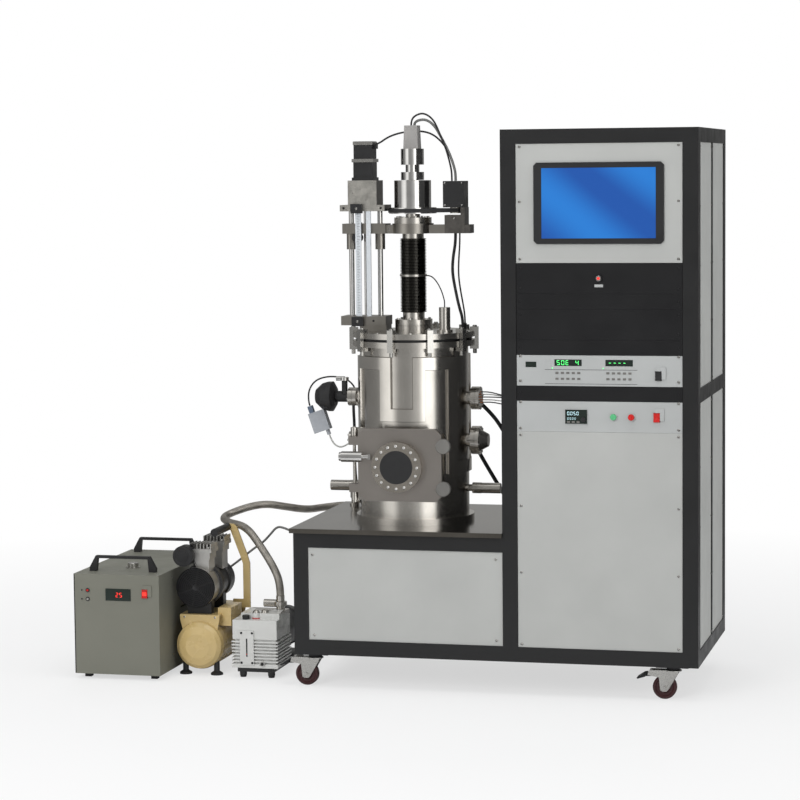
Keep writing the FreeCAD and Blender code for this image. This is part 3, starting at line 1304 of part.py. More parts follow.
def make_backing_pump():
    x, y = "backing_x", "backing_y"
    wide, deep = "backing_wide", "backing_deep"
    rib_zone = "76"
    core = block((f"{wide} - 16", f"{deep} - 8", "backing_tall - 10"), (f"{x} + 8", f"{y} + 8", "backing_low"))
    sole = block((wide, deep, "12"), (x, y, "backing_low"))
    ribs = []
    for i in range(7):
        ribs.append(block((wide, deep, "4.5"), (x, y, f"backing_low + 18 + {i}*10")))
    cover = block((f"{wide} - 6", f"{deep} - 4", f"backing_tall - {rib_zone} - 22"),
                  (f"{x} + 3", f"{y} + 2", f"backing_low + {rib_zone} + 12"))
    plate = block(("44", "5", "106"), (f"{x} + 27", f"{y} - 3", "backing_low + 9"))
    drain = rod("8", "8", (f"{x} + 98", f"{y} - 5", "backing_low + 14"), "y")
    shelf = block((f"{wide} - 24", f"{deep} - 40", "16"), (f"{x} + 20", f"{y} + 36", "backing_low + backing_tall - 10"))
    cap = rod("11", "14", (f"{x} + 40", f"{y} + 22", "backing_low + backing_tall - 12"))
    domes = []
    for dx, dy in (("68", "40"), ("92", "52")):
        domes.append(turned(
            [("0", "0"), ("12", "0"), ("12", "18"), ("8", "25"), ("0", "28")],
            (f"{x} + {dx}", f"{y} + {dy}", "backing_low + backing_tall - 10"), "z", "dome"))
    base = block((f"{wide} - 30", f"{deep} + backing_motor_long - 20", "backing_low - 16"),
                 (f"{x} + 15", f"{y} + 10", "17"))
    feet = []
    for fx in (f"{x} + 30", f"{x} + {wide} - 26"):
        for fy in (f"{y} + 20", f"{y} + {deep} + backing_motor_long - 26"):
            feet.append(turned([("0", "0"), ("9", "0"), ("11", "8"), ("11", "17.5"), ("0", "17.5")], (fx, fy, "0"), "z", "foot"))
    motor = turned(
        [("0", "0"), ("backing_motor", "0"), ("backing_motor", "30"), ("backing_motor - 5", "34"),
         ("backing_motor - 5", "backing_motor_long - 40"), ("backing_motor", "backing_motor_long - 36"),
         ("backing_motor", "backing_motor_long - 8"), ("backing_motor - 8", "backing_motor_long"), ("0", "backing_motor_long")],
        (f"{x} + {wide}/2", f"{y} + {deep}", "backing_low + 76"), "y", "pump_motor")
    column = (f"{x} + {wide} - 26", f"{y} + 125")
    inlet = turned(
        [("0", "0"), ("13", "0"), ("13", "26"), ("20", "28"), ("20", "40"), ("13", "42"), ("13", "58"), ("0", "58")],
        column + ("backing_low + backing_tall - 10",), "z", "inlet")
    elbow = rod("12", "40", (f"{x} + {wide} - 26 - 52", f"{y} + 125", "backing_low + backing_tall + 24"), "x")
    node("backing_pump", [join([core, sole, cover, plate, drain, shelf, cap, base, motor, inlet, elbow]
                               + ribs + domes + feet)])


def make_hose():
    """The vacuum hose from the high vacuum pump's outlet at the back to the backing pump."""
    inlet = ("backing_x + backing_wide - 26", "backing_y + 125", "backing_low + backing_tall + 48.2")
    route = [
        ("chamber_x", "frame_deep + 16.1", "bench_high - foreline_drop"),
        ("chamber_x", "frame_deep + 60", "bench_high - foreline_drop"),
        ("246", "724", "388"), ("130", "712", "430"), ("0", "690", "465"), ("-86", "650", "458"),
        ("-129", "600", "455"), ("-191", "550", "471"), ("-240", "516", "483"), ("-297", "490", "474"),
        ("-362", "432", "449"), ("-322", "362", "442"), ("-248", "322", "437"), ("-190", "280", "385"),
        ("-130", "246", "312"), (inlet[0], inlet[1], "268"), inlet]
    node("vacuum_hose", [cord(route, "hose_radius", "hose")])


def make_cables():
    """Signal cables and air hoses. Each is a list of hand-picked points."""
    side = "bench_long - 0.1"
    routes = {
        "gauge_top": ("lead_radius", [
            ("-24.1", "285", "820.9"), ("-29", "285", "835"), ("-27", "285", "872"), ("-4", "286", "902"),
            ("38", "292", "913"), ("86", "308", "906"), ("114", "324", "874"), ("118", "340", "800"),
            ("130", "380", "700")]),
        "gauge_low": ("lead_radius", [
            ("37.1", "285", "732.7"), ("41.6", "285", "719.8"), ("54", "286", "700"), ("74", "291", "692"),
            ("96", "306", "706"), ("114", "334", "714"), ("118", "352", "716")]),
        "left_tube": ("cable_radius + 1", [
            ("115", "285", "822.6"), ("115", "285", "806"), ("112", "304", "764"), ("108", "318", "710"),
            ("108", "320", "620"), ("112", "330", "560"), ("120", "352", "520"), ("122", "358", "508"),
            ("122", "358", "table_high + 0.3")]),
        "air_tube": ("cable_radius", [
            ("-301.2", "327", "306.9"), ("-284", "328", "319"), ("-253", "330", "344"), ("-221", "332", "369"),
            ("-196", "331", "385"), ("-168", "321", "413"), ("-142", "307", "440"), ("-114", "290", "439"),
            ("-80", "274", "429"), ("-40", "258", "412"), ("-14", "250", "402"), ("2.7", "250", "402")]),
        "right_hose": ("cable_radius + 2.5", [
            ("496", "330", "838"), ("524", "336", "812"), ("560", "342", "768"), ("594", "354", "700"),
            ("616", "360", "668"), (side, "360", "668")]),
        "right_hose_low": ("cable_radius + 2.5", [
            ("484", "335", "705"), ("505", "338", "664"), ("540", "342", "604"), ("582", "354", "530"),
            ("612", "362", "500"), (side, "362", "500")])}
    for i, rise in enumerate((20, 12, 3, -6, -14)):
        drop = 6 + 5 * abs(i - 2)
        routes[f"heater_wire_{i}"] = ("lead_radius - 0.7", [
            ("514.3", f"chamber_y - 14 + {i}*7", f"table_high + 371 + {rise}"),
            ("522", f"chamber_y - 14 + {i}*7", f"table_high + 371 + {rise}"),
            ("544", f"chamber_y - 16 + {i}*9", f"table_high + 371 + {rise}"),
            ("572", f"chamber_y - 18 + {i}*12", f"table_high + 373 + {rise} - {drop}/2"),
            ("600", f"chamber_y - 18 + {i}*14", f"table_high + 373 + {rise} - {drop}"),
            ("624", f"chamber_y - 18 + {i}*16", f"table_high + 376 + {rise}"),
            (side, f"chamber_y - 18 + {i}*16", f"table_high + 376 + {rise}")])
    node("signal_cables", [cord(points, size, name) for name, (size, points) in routes.items()], False)

    lift = {
        "loop_black": ("cable_radius - 0.7", [
            ("306", "282", "1675.4"), ("306", "282", "1690"), ("318", "282", "1705"), ("345", "282", "1713"),
            ("375", "282", "1693"), ("394", "283", "1650"), ("414", "285", "1600"), ("427", "285", "1550"),
            ("430", "285", "1527"), ("430", "285", "1507.4")]),
        "loop_grey": ("cable_radius + 0.5", [
            ("314", "291", "1675.4"), ("314", "291", "1683"), ("326", "291", "1691"), ("350", "292", "1693"),
            ("376", "292", "1675"), ("400", "292", "1632"), ("422", "292", "1590"), ("436", "292", "1548"),
            ("440", "292", "1528"), ("440", "292", "1507.4")]),
        "motor_lead": ("cable_radius - 0.7", [
            ("189.2", "300", "1620"), ("200", "301", "1622"), ("226", "312", "1642"), ("264", "320", "1655"),
            ("320", "322", "1660"), ("366", "312", "1650"), ("404", "304", "1616"), ("430", "302", "1570"),
            ("437", "302", "1530"), ("437", "302", "1507.4")]),
        "bundle": ("cable_radius + 1", [
            ("440", "285", "1349.4"), ("440", "285", "1322"), ("432", "282", "1276"), ("430", "280", "1232"),
            ("440", "276", "1180"), ("454", "264", "1128"), ("466", "262", "1092"), ("466", "262", "1054.4")]),
        "bundle_thin": ("cable_radius - 1", [
            ("452", "290", "1349.4"), ("452", "290", "1318"), ("448", "290", "1270"), ("447", "289", "1220"),
            ("455", "286", "1170"), ("466", "279", "1120"), ("470", "275", "1088"), ("470", "275", "1054.4")]),
        "bellows_lead": ("lead_radius - 0.7", [
            ("349", "272", "1222"), ("364", "262", "1224"), ("384", "250", "1212"), ("404", "238", "1184"),
            ("417", "226", "1152"), ("418", "225", "1142"), ("418", "225", "1129.9")])}
    node("lift_cables", [cord(points, size, name) for name, (size, points) in lift.items()], False)


make_frame()
make_table()
make_panels()
make_rack()
make_casters()
make_chamber()
make_jacket()
make_lid()
make_door()
make_ports()
make_sources()
make_turbo()
make_lift()
make_carriage()
make_belt()
make_bellows()
make_chiller()
make_compressor()
make_backing_pump()
make_hose()
make_cables()

doc.recompute()

# Checks before anything is written

faults = []
for piece in doc.Objects:
    if "Invalid" in piece.State or "Error" in piece.State:
        faults.append(f"{piece.Name}: {piece.State} {piece.getStatusString()}")
for part in NODES:
    shape = part.Shape
    if shape.isNull() or not shape.isValid() or not shape.Solids:
        faults.append(f"{part.Label}: no valid solid")
if faults:
    sys.exit("\n".join(faults))

os.makedirs("parts", exist_ok=True)
for part in NODES:
    part.Shape.exportStep(f"parts/{part.Label}.step")
print(len(NODES), "sub-parts,", sum(len(part.Shape.Solids) for part in NODES), "solids")
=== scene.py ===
import json
import math

import bmesh
import bpy
from mathutils import Matrix, Vector


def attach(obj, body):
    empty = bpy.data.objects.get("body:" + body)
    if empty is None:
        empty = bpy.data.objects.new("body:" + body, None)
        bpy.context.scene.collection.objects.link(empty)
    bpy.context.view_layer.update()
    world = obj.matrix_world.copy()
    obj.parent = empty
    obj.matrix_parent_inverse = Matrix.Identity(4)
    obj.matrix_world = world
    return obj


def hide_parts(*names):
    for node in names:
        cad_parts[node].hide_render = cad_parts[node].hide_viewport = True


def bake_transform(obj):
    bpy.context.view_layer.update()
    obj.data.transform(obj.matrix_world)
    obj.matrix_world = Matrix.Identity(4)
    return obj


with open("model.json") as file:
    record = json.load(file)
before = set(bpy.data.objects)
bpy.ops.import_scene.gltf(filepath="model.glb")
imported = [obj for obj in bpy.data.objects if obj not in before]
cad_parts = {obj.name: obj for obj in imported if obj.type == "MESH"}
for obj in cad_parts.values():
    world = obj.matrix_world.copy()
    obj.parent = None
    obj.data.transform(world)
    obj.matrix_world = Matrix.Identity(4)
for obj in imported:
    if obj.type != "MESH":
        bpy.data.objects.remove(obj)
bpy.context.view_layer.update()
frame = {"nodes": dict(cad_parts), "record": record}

# Places below are written in millimetres in the machine's own frame, as in the CAD model:
# X from the bench's left end, Y from the front face, Z from the floor.

MM = 0.001
ORIGIN = Vector((255, 315, 0))
AXES = {"x": Vector((1, 0, 0)), "y": Vector((0, 1, 0)), "z": Vector((0, 0, 1)),
        "-x": Vector((-1, 0, 0)), "-y": Vector((0, -1, 0))}


def at(x, y, z):
    """A point of the machine's own frame, in the scene's metres."""
    return (Vector((x, y, z)) - ORIGIN) * MM


# X and Y of the chamber's axis, and X and Z of the sight glass's
CHAMBER = (308, 285)
WINDOW = (305, 661)

# X and Z of the compressor's motor and of its tank
MOTOR = (-349, 271)
TANK = (-341, 92)

# Y and Z of each pin of the heater feedthrough
PINS = [(271 + 7 * i, 851 + rise) for i, rise in enumerate((20, 12, 3, -6, -14))]


def around(count, centre, radius, phase=0.0):
    """Places spaced evenly on a circle, from a phase in degrees."""
    for i in range(count):
        angle = math.radians(phase) + math.tau * i / count
        yield centre[0] + radius * math.cos(angle), centre[1] + radius * math.sin(angle)


# Camera

def make_camera():
    data = bpy.data.cameras.new("camera")
    data.sensor_width = 36
    data.lens = 117
    data.clip_end = 60
    camera = bpy.data.objects.new("camera", data)
    camera.location = at(2174.3, -7387.8, 1539.7)
    camera.rotation_euler = [math.radians(turn) for turn in (84.957, 0.563, 13.945)]
    bpy.context.scene.collection.objects.link(camera)
    bpy.context.scene.camera = camera


make_camera()


# Materials

class Tree:
    """A node tree with a short way to add and join nodes."""

    def __init__(self, tree):
        self.nodes, self.links = tree.nodes, tree.links

    def link(self, out, into):
        self.links.new(out, into)

    def spread(self, source, low, high, start=0.3, stop=0.7):
        """A value that goes from low to high while the source goes from start to stop."""
        ramp = self.nodes.new("ShaderNodeMapRange")
        ramp.inputs["From Min"].default_value = start
        ramp.inputs["From Max"].default_value = stop
        ramp.inputs["To Min"].default_value = low
        ramp.inputs["To Max"].default_value = high
        self.link(source, ramp.inputs["Value"])
        return ramp.outputs["Result"]

    def combine(self, operation, first, second):
        """One value made from two."""
        node = self.nodes.new("ShaderNodeMath")
        node.operation = operation
        self.link(first, node.inputs[0])
        self.link(second, node.inputs[1])
        return node.outputs[0]

    def mixed(self, share, first, second):
        """A shader that goes from the first to the second with the share."""
        node = self.nodes.new("ShaderNodeMixShader")
        self.link(share, node.inputs["Fac"])
        self.link(first, node.inputs[1])
        self.link(second, node.inputs[2])
        return node.outputs["Shader"]

    def rays(self):
        """Whether a ray comes from the camera, also through glass, and whether it is a mirrored one."""
        paths = self.nodes.new("ShaderNodeLightPath").outputs
        return self.combine("MAXIMUM", paths["Is Camera Ray"], paths["Is Transmission Ray"]), paths["Is Glossy Ray"]


class Shader(Tree):
    """A principled material; further inputs are named with _ for each blank."""

    def __init__(self, name, colour, rough, metal=0.0, **extra):
        self.material = bpy.data.materials.new(name)
        self.material.use_nodes = True
        super().__init__(self.material.node_tree)
        self.base = self.nodes["Principled BSDF"]
        self.base.inputs["Base Color"].default_value = (*colour, 1)
        self.base.inputs["Roughness"].default_value = rough
        self.base.inputs["Metallic"].default_value = metal
        for key, value in extra.items():
            self.base.inputs[key.replace("_", " ")].default_value = value
        self.colour = colour

    def where(self, stretch=(1, 1, 1)):
        """The object's own coordinates, stretched along its axes."""
        coordinates = self.nodes.new("ShaderNodeTexCoord")
        mapping = self.nodes.new("ShaderNodeMapping")
        mapping.inputs["Scale"].default_value = stretch
        self.link(coordinates.outputs["Object"], mapping.inputs["Vector"])
        return mapping.outputs["Vector"]

    def noise(self, scale, detail, stretch=(1, 1, 1), rough=0.5):
        """A cloudy pattern between 0 and 1."""
        texture = self.nodes.new("ShaderNodeTexNoise")
        texture.inputs["Scale"].default_value = scale
        texture.inputs["Detail"].default_value = detail
        texture.inputs["Roughness"].default_value = rough
        self.link(self.where(stretch), texture.inputs["Vector"])
        return texture.outputs["Fac"]

    def bands(self, scale, distortion, detail=2.0, detail_scale=1.0):
        """Slanted bands that waver with the distortion."""
        waves = self.nodes.new("ShaderNodeTexWave")
        waves.wave_type = "BANDS"
        waves.bands_direction = "DIAGONAL"
        waves.inputs["Scale"].default_value = scale
        waves.inputs["Distortion"].default_value = distortion
        waves.inputs["Detail"].default_value = detail
        waves.inputs["Detail Scale"].default_value = detail_scale
        self.link(self.where(), waves.inputs["Vector"])
        return waves.outputs["Fac"]

    def blend(self, source, low, high, start=0.3, stop=0.7):
        """A colour that follows a pattern from one colour to another."""
        mix = self.nodes.new("ShaderNodeMix")
        mix.data_type = "RGBA"
        mix.inputs[6].default_value = (*low, 1)
        mix.inputs[7].default_value = (*high, 1)
        self.link(self.spread(source, 0, 1, start, stop), mix.inputs["Factor"])
        return mix.outputs[2]

    def tint(self, source, low, high):
        """The base colour follows a pattern between two shades of itself."""
        shades = [[min(c * part, 1) for c in self.colour] for part in (low, high)]
        self.link(self.blend(source, *shades), self.base.inputs["Base Color"])

    def roughen(self, source, low, high, start=0.3, stop=0.7):
        self.link(self.spread(source, low, high, start, stop), self.base.inputs["Roughness"])

    def bump(self, source, strength, distance):
        bump = self.nodes.new("ShaderNodeBump")
        bump.inputs["Strength"].default_value = strength
        bump.inputs["Distance"].default_value = distance
        self.link(source, bump.inputs["Height"])
        self.link(bump.outputs["Normal"], self.base.inputs["Normal"])


def powder_coat(name, colour, rough, grain=900):
    """Baked powder coat: fine orange peel and faint uneven gloss."""
    look = Shader(name, colour, rough, Specular_IOR_Level=0.35)
    look.bump(look.noise(grain, 2), 0.18, 0.0004)
    look.tint(look.noise(5, 4), 0.95, 1.04)
    look.roughen(look.noise(14, 3), rough - 0.06, rough + 0.08)
    return look.material


def brushed(name, colour, rough, stretch=(1, 1, 40), scale=60, shade=0.86):
    """Brushed metal: fine lines that run one way, with a slow drift of tone and gloss."""
    look = Shader(name, colour, rough, 1.0)
    lines = look.noise(scale, 5, stretch, 0.65)
    look.bump(lines, 0.02, 0.0002)
    look.roughen(lines, rough - 0.05, rough + 0.06)
    look.tint(look.noise(8, 5), shade, 1.06)
    return look.material


def swirled(name, colour, rough=0.30):
    """Milled aluminium with the overlapping swirls of a hand tool."""
    look = Shader(name, colour, rough, 1.0)
    swirls = look.nodes.new("ShaderNodeTexVoronoi")
    swirls.inputs["Scale"].default_value = 75
    look.link(look.where(), swirls.inputs["Vector"])
    rings = look.nodes.new("ShaderNodeMath")
    rings.operation = "SINE"
    look.link(look.spread(swirls.outputs["Distance"], 0, 60, 0, 1), rings.inputs[0])
    look.roughen(rings.outputs[0], rough - 0.08, rough + 0.14, -1, 1)
    look.bump(rings.outputs[0], 0.10, 0.0003)
    look.tint(look.noise(45, 5), 0.70, 1.12)
    return look.material


def polished(name, colour, rough=0.10):
    """Bright metal with faint smears."""
    look = Shader(name, colour, rough, 1.0)
    look.roughen(look.noise(40, 4), rough - 0.04, rough + 0.08)
    look.bump(look.noise(9, 3), 0.04, 0.0004)
    look.tint(look.noise(20, 3), 0.9, 1.05)
    return look.material


def plastic(name, colour, rough=0.5, grain=700, strength=0.15):
    """Moulded plastic or rubber with a fine grain."""
    look = Shader(name, colour, rough)
    look.bump(look.noise(grain, 3), strength, 0.0003)
    look.roughen(look.noise(25, 3), rough - 0.07, rough + 0.1)
    look.tint(look.noise(9, 3), 0.85, 1.15)
    return look.material


def enamel(name, colour):
    """Glossy paint under a clear coat."""
    rough = 0.22
    look = Shader(name, colour, rough, Coat_Weight=0.3, Coat_Roughness=0.12)
    look.bump(look.noise(60, 3), 0.06, 0.0006)
    look.tint(look.noise(6, 4), 0.92, 1.05)
    look.roughen(look.noise(18, 4), rough - 0.05, rough + 0.12)
    return look.material


def window_glass(name):
    """Thick sight glass over a dark chamber, with a smoky film that evaporation leaves."""
    look = Shader(name, (0.5, 0.47, 0.40), 0.05, 0.55, Transmission_Weight=0.4, IOR=1.47)
    look.roughen(look.noise(22, 3), 0.03, 0.10)
    look.tint(look.noise(7, 3), 0.75, 1.1)
    return look.material


def glowing(name, colour, strength):
    """A lit lens or display segment."""
    look = Shader(name, colour, 0.3, Emission_Color=(*colour, 1), Emission_Strength=strength)
    look.tint(look.noise(300, 2), 0.9, 1.1)
    return look.material


def hose_braid(name, colour):
    """Stainless hose: fine rings under a woven sleeve, dulled by grime."""
    look = Shader(name, colour, 0.38, 0.85)
    rings = look.bands(260, 2.0)
    look.bump(rings, 0.35, 0.0006)
    look.tint(look.noise(30, 4), 0.7, 1.15)
    look.roughen(rings, 0.28, 0.5)
    return look.material


def screen_picture(name):
    """A plain blue desktop with one soft band of light."""
    look = Shader(name, (0.01, 0.02, 0.05), 0.12)
    glow = look.bands(1.7, 3.2, 1.0, 0.8)
    colour = look.blend(glow, (0.002, 0.085, 0.42), (0.012, 0.22, 0.72), 0.1, 1.0)
    look.link(colour, look.base.inputs["Emission Color"])
    look.base.inputs["Emission Strength"].default_value = 0.85
    return look.material


def fan_guard(name):
    """Black moulded grille, dusty in places."""
    look = Shader(name, (0.012, 0.012, 0.013), 0.45)
    look.bump(look.noise(500, 2), 0.2, 0.0003)
    look.tint(look.noise(40, 3), 0.7, 1.4)
    return look.material


# Each look: its maker and what the maker is given
RECIPES = {
    "frame_coat": (powder_coat, (0.014, 0.014, 0.0145), 0.42),
    "panel_coat": (powder_coat, (0.43, 0.435, 0.42), 0.5),
    "black_coat": (powder_coat, (0.008, 0.008, 0.009), 0.4),
    "case_coat": (powder_coat, (0.42, 0.43, 0.425), 0.45),
    "pale_strip": (powder_coat, (0.60, 0.63, 0.66), 0.4),
    "table_steel": (brushed, (0.20, 0.185, 0.165), 0.16, (12, 1, 1), 90),
    "stainless": (brushed, (0.57, 0.545, 0.51), 0.23, (1, 1, 12), 160),
    "channel_steel": (brushed, (0.66, 0.63, 0.59), 0.17, (1, 1, 12), 160),
    "ring_steel": (brushed, (0.50, 0.46, 0.41), 0.24, (1, 1, 1), 30),
    "seam_steel": (brushed, (0.20, 0.185, 0.165), 0.38, (1, 1, 1), 200),
    "door_steel": (brushed, (0.32, 0.295, 0.275), 0.42, (14, 1, 1), 140, 0.92),
    "chrome_steel": (polished, (0.66, 0.65, 0.64)),
    "zinc_steel": (brushed, (0.50, 0.49, 0.47), 0.26, (1, 1, 1), 120),
    "aluminium_milled": (swirled, (0.62, 0.60, 0.56)),
    "plate_steel": (brushed, (0.36, 0.34, 0.31), 0.34, (1, 1, 12), 120),
    # darker milled look: the carriage's motor bracket, and painted shade on faces that look to +X
    "dark_milled": (swirled, (0.17, 0.16, 0.15), 0.36),
    "cast_alloy": (brushed, (0.60, 0.59, 0.57), 0.40, (1, 1, 1), 120, 0.6),
    "bellows_steel": (polished, (0.12, 0.115, 0.105), 0.20),
    "black_plastic": (plastic, (0.012, 0.012, 0.013)),
    "grey_knob": (plastic, (0.155, 0.15, 0.14), 0.6, 400, 0.1),
    "box_white": (plastic, (0.33, 0.345, 0.37), 0.45, 300, 0.05),
    # painted shade: near black for the cabinet side that faces the chamber
    "side_coat": (powder_coat, (0.07, 0.07, 0.07), 0.42),
    "window_glass": (window_glass,),
    "red_plastic": (plastic, (0.5, 0.012, 0.01), 0.25, 300, 0.05),
    "green_plastic": (plastic, (0.1, 0.45, 0.2), 0.25, 300, 0.05),
    "black_rubber": (plastic, (0.013, 0.013, 0.014), 0.6),
    "grey_cable": (plastic, (0.16, 0.16, 0.155), 0.5, 500, 0.1),
    "white_cable": (plastic, (0.5, 0.5, 0.48), 0.45, 500, 0.1),
    "wheel_rubber": (plastic, (0.035, 0.008, 0.009), 0.4),
    "copper": (brushed, (0.62, 0.27, 0.14), 0.3),
    "chiller_coat": (powder_coat, (0.175, 0.175, 0.145), 0.5, 500),
    "cream_coat": (enamel, (0.58, 0.43, 0.19)),
    "pump_coat": (enamel, (0.62, 0.62, 0.60)),
    "motor_black": (plastic, (0.014, 0.014, 0.015), 0.38),
    "hose_braid": (hose_braid, (0.40, 0.375, 0.34)),
    "fan_guard": (fan_guard,),
    "screen_picture": (screen_picture,),
    "display_dark": (plastic, (0.012, 0.02, 0.016), 0.15, 100, 0.02),
    "green_light": (glowing, (0.1, 0.9, 0.2), 1.2),
    "red_light": (glowing, (0.95, 0.03, 0.02), 1.0),
    "amber_light": (glowing, (0.5, 0.75, 0.8), 0.8),
    "blue_grey": (plastic, (0.10, 0.13, 0.18), 0.5),
    "grey_plug": (plastic, (0.30, 0.29, 0.28), 0.4, 300, 0.05),
}
LOOKS = {name: make(name, *values) for name, (make, *values) in RECIPES.items()}


def soften(obj, width, segments=2, limit="ANGLE", degrees=40, harden=True):
    """Bevels the sharp edges, or those that carry a weight."""
    bevel = obj.modifiers.new("soften", "BEVEL")
    bevel.width = width * MM
    bevel.segments = segments
    bevel.limit_method = limit
    bevel.angle_limit = math.radians(degrees)
    bevel.harden_normals = harden


def dress(obj, look, bevel=0.0):
    """Gives a CAD node or a new piece its material, and softens its sharp edges."""
    obj.data.materials.clear()
    obj.data.materials.append(LOOKS[look])
    if bevel:
        soften(obj, bevel)


def body_of(node):
    """The body that the record gives a node to."""
    return next(body for body, nodes in frame["record"]["behaviour"]["bodies"].items() if node in nodes)


def dress_nodes():
    """Every CAD node takes the look of its slot, until a later step dresses it better."""
    slots = {part["node"]: part["material_slot"] for part in frame["record"]["subparts"]}
    softened = {"main_frame": 1.5, "bench_top": 1.2, "chamber_door": 1.5, "lift_carriage": 0.8,
                "touch_monitor": 1.0, "lid_clamps": 0.8, "door_hinge": 0.8, "chamber_lid": 0.8}
    for node, obj in frame["nodes"].items():
        dress(obj, slots[node], softened.get(node, 0))


dress_nodes()


def split(node, choose, bevel=0.0):
    """Copies a CAD node's faces into one piece for each look; choose(x, y, z, normal) names a face's look."""
    source = frame["nodes"][node]
    groups = {}
    for face in source.data.polygons:
        centre = source.matrix_world @ face.center / MM + ORIGIN
        groups.setdefault(choose(*centre, face.normal), set()).add(face.index)
    for look, faces in groups.items():
        mesh = source.data.copy()
        cells = bmesh.new()
        cells.from_mesh(mesh)
        cells.faces.ensure_lookup_table()
        bmesh.ops.delete(cells, geom=[face for face in cells.faces if face.index not in faces], context="FACES")
        cells.to_mesh(mesh)
        cells.free()
        obj = bpy.data.objects.new(f"{node}_{look}", mesh)
        bpy.context.scene.collection.objects.link(obj)
        obj.matrix_world = source.matrix_world
        dress(obj, look, bevel)
        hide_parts(node)
        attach(obj, body_of(node))


def circle(radius, sides, height=0.0):
    """Points round the Z axis."""
    for i in range(sides):
        angle = math.tau * i / sides
        yield Vector((radius * math.cos(angle), radius * math.sin(angle), height))


class Pile:
    """Many small parts of one look, gathered into one mesh."""

    # A button head's rim, its dome and the flat on top, as shares of its radius
    RIM, DOME, FLAT = 0.25, 0.4, 0.55
    SHARP = math.radians(38)

    def __init__(self, name, look, body="machine"):
        self.name, self.look, self.body = name, look, body
        self.cells = bmesh.new()

    def box(self, low, high):
        low, high = Vector(low), Vector(high)
        size = Matrix.Diagonal((*((high - low) * MM), 1))
        bmesh.ops.create_cube(self.cells, size=1, matrix=Matrix.Translation(at(*(low + high) / 2)) @ size)

    def rod(self, foot, length, radius, axis, sides, top=None):
        """A cylinder, or a cone where top gives its far radius."""
        along = AXES[axis]
        middle = Vector(foot) + along * length / 2
        matrix = Matrix.Translation(at(*middle)) @ along.to_track_quat("Z", "Y").to_matrix().to_4x4()
        bmesh.ops.create_cone(
            self.cells, cap_ends=True, segments=sides, radius1=radius * MM,
            radius2=(radius if top is None else top) * MM, depth=length * MM, matrix=matrix)

    def screw(self, foot, radius, axis):
        """A button head."""
        self.rod(foot, radius * self.RIM, radius, axis, 16)
        start = Vector(foot) + AXES[axis] * radius * self.RIM
        self.rod(start, radius * self.DOME, radius, axis, 16, radius * self.FLAT)

    def skin(self, rings):
        """Faces between neighbouring rings of points, and a cap at each end."""
        sides = len(rings[0])
        for lower, upper in zip(rings, rings[1:]):
            for i in range(sides):
                j = (i + 1) % sides
                self.cells.faces.new((lower[i], lower[j], upper[j], upper[i]))
        self.cells.faces.new(list(reversed(rings[0])))
        self.cells.faces.new(rings[-1])

    def lathe(self, foot, profile, axis, sides):
        """A solid turned about an axis through foot; the profile lists (radius, distance)."""
        turn = Matrix.Translation(at(*foot)) @ AXES[axis].to_track_quat("Z", "Y").to_matrix().to_4x4()
        self.skin([
            [self.cells.verts.new(turn @ (spot * MM)) for spot in circle(radius, sides, distance)]
            for radius, distance in profile])

    def tube(self, points, radius, sides):
        """A thin bent rod through the points."""
        spots = [Vector(point) for point in points]
        rings = []
        for i, spot in enumerate(spots):
            ahead = (spots[min(i + 1, len(spots) - 1)] - spots[max(i - 1, 0)]).normalized()
            turn = ahead.to_track_quat("Z", "Y")
            rings.append([self.cells.verts.new(at(*(spot + turn @ offset))) for offset in circle(radius, sides)])
        self.skin(rings)

    def done(self, bevel=0.0, nodes=(), ride=True):
        """Makes the piece, which stands for the nodes and rides on its body."""
        mesh = bpy.data.meshes.new(self.name)
        self.cells.normal_update()
        self.cells.to_mesh(mesh)
        self.cells.free()
        mesh.shade_smooth()
        mesh.set_sharp_from_angle(angle=self.SHARP)
        obj = bpy.data.objects.new(self.name, mesh)
        bpy.context.scene.collection.objects.link(obj)
        dress(obj, self.look, bevel)
        if nodes:
            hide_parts(*nodes)
        if ride:
            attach(obj, self.body)
        return obj


def screw_set(name, look, places, body="machine"):
    """Button heads that face forwards; places lists (x, y, z, radius)."""
    pile = Pile(name, look, body)
    for x, y, z, radius in places:
        pile.screw((x, y, z), radius, "-y")
    pile.done()


def box_set(name, look, spans, bevel=0.0):
    """Plain boxes; spans lists pairs of corners."""
    pile = Pile(name, look)
    for low, high in spans:
        pile.box(low, high)
    pile.done(bevel)


# Cords

def smooth(points, steps):
    """Points along the smooth line that a cord's route stands for."""
    spots = [Vector(point) for point in points]
    line = [spots[0]]
    start = spots[0]
    for i in range(1, len(spots) - 1):
        stop = spots[-1] if i == len(spots) - 2 else (spots[i] + spots[i + 1]) / 2
        for k in range(1, steps + 1):
            t = k / steps
            line.append(start * (1 - t) ** 2 + spots[i] * 2 * t * (1 - t) + stop * t ** 2)
        start = stop
    return line


def finish_cord(node):
    """Hides the CAD cord that the piece stands for."""
    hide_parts(node)


def cord_piece(name, points, radius, look, node, body="machine"):
    """A round cord on one smooth spline, with the route's points as its control points."""
    curve = bpy.data.curves.new(name, "CURVE")
    curve.dimensions = "3D"
    curve.bevel_depth = radius * MM
    curve.bevel_resolution = 5
    curve.resolution_u = 14
    curve.use_fill_caps = True
    spline = curve.splines.new("NURBS")
    spline.points.add(len(points) - 1)
    for control, point in zip(spline.points, points):
        control.co = (*at(*point), 1)
    spline.order_u = 3
    spline.use_endpoint_u = True
    obj = bpy.data.objects.new(name, curve)
    bpy.context.scene.collection.objects.link(obj)
    dress(obj, look)
    finish_cord(node)
    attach(obj, body)


def crossing_cord(name, points, radius, look):
    """A cord that ends on the machine and on the carriage, made as one fixed tube that rides on no body."""
    pile = Pile(name, look)
    line = smooth(points, 6)
    pile.tube(line, radius, 12)
    obj = pile.done(ride=False)
    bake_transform(obj)
    finish_cord("lift_cables")


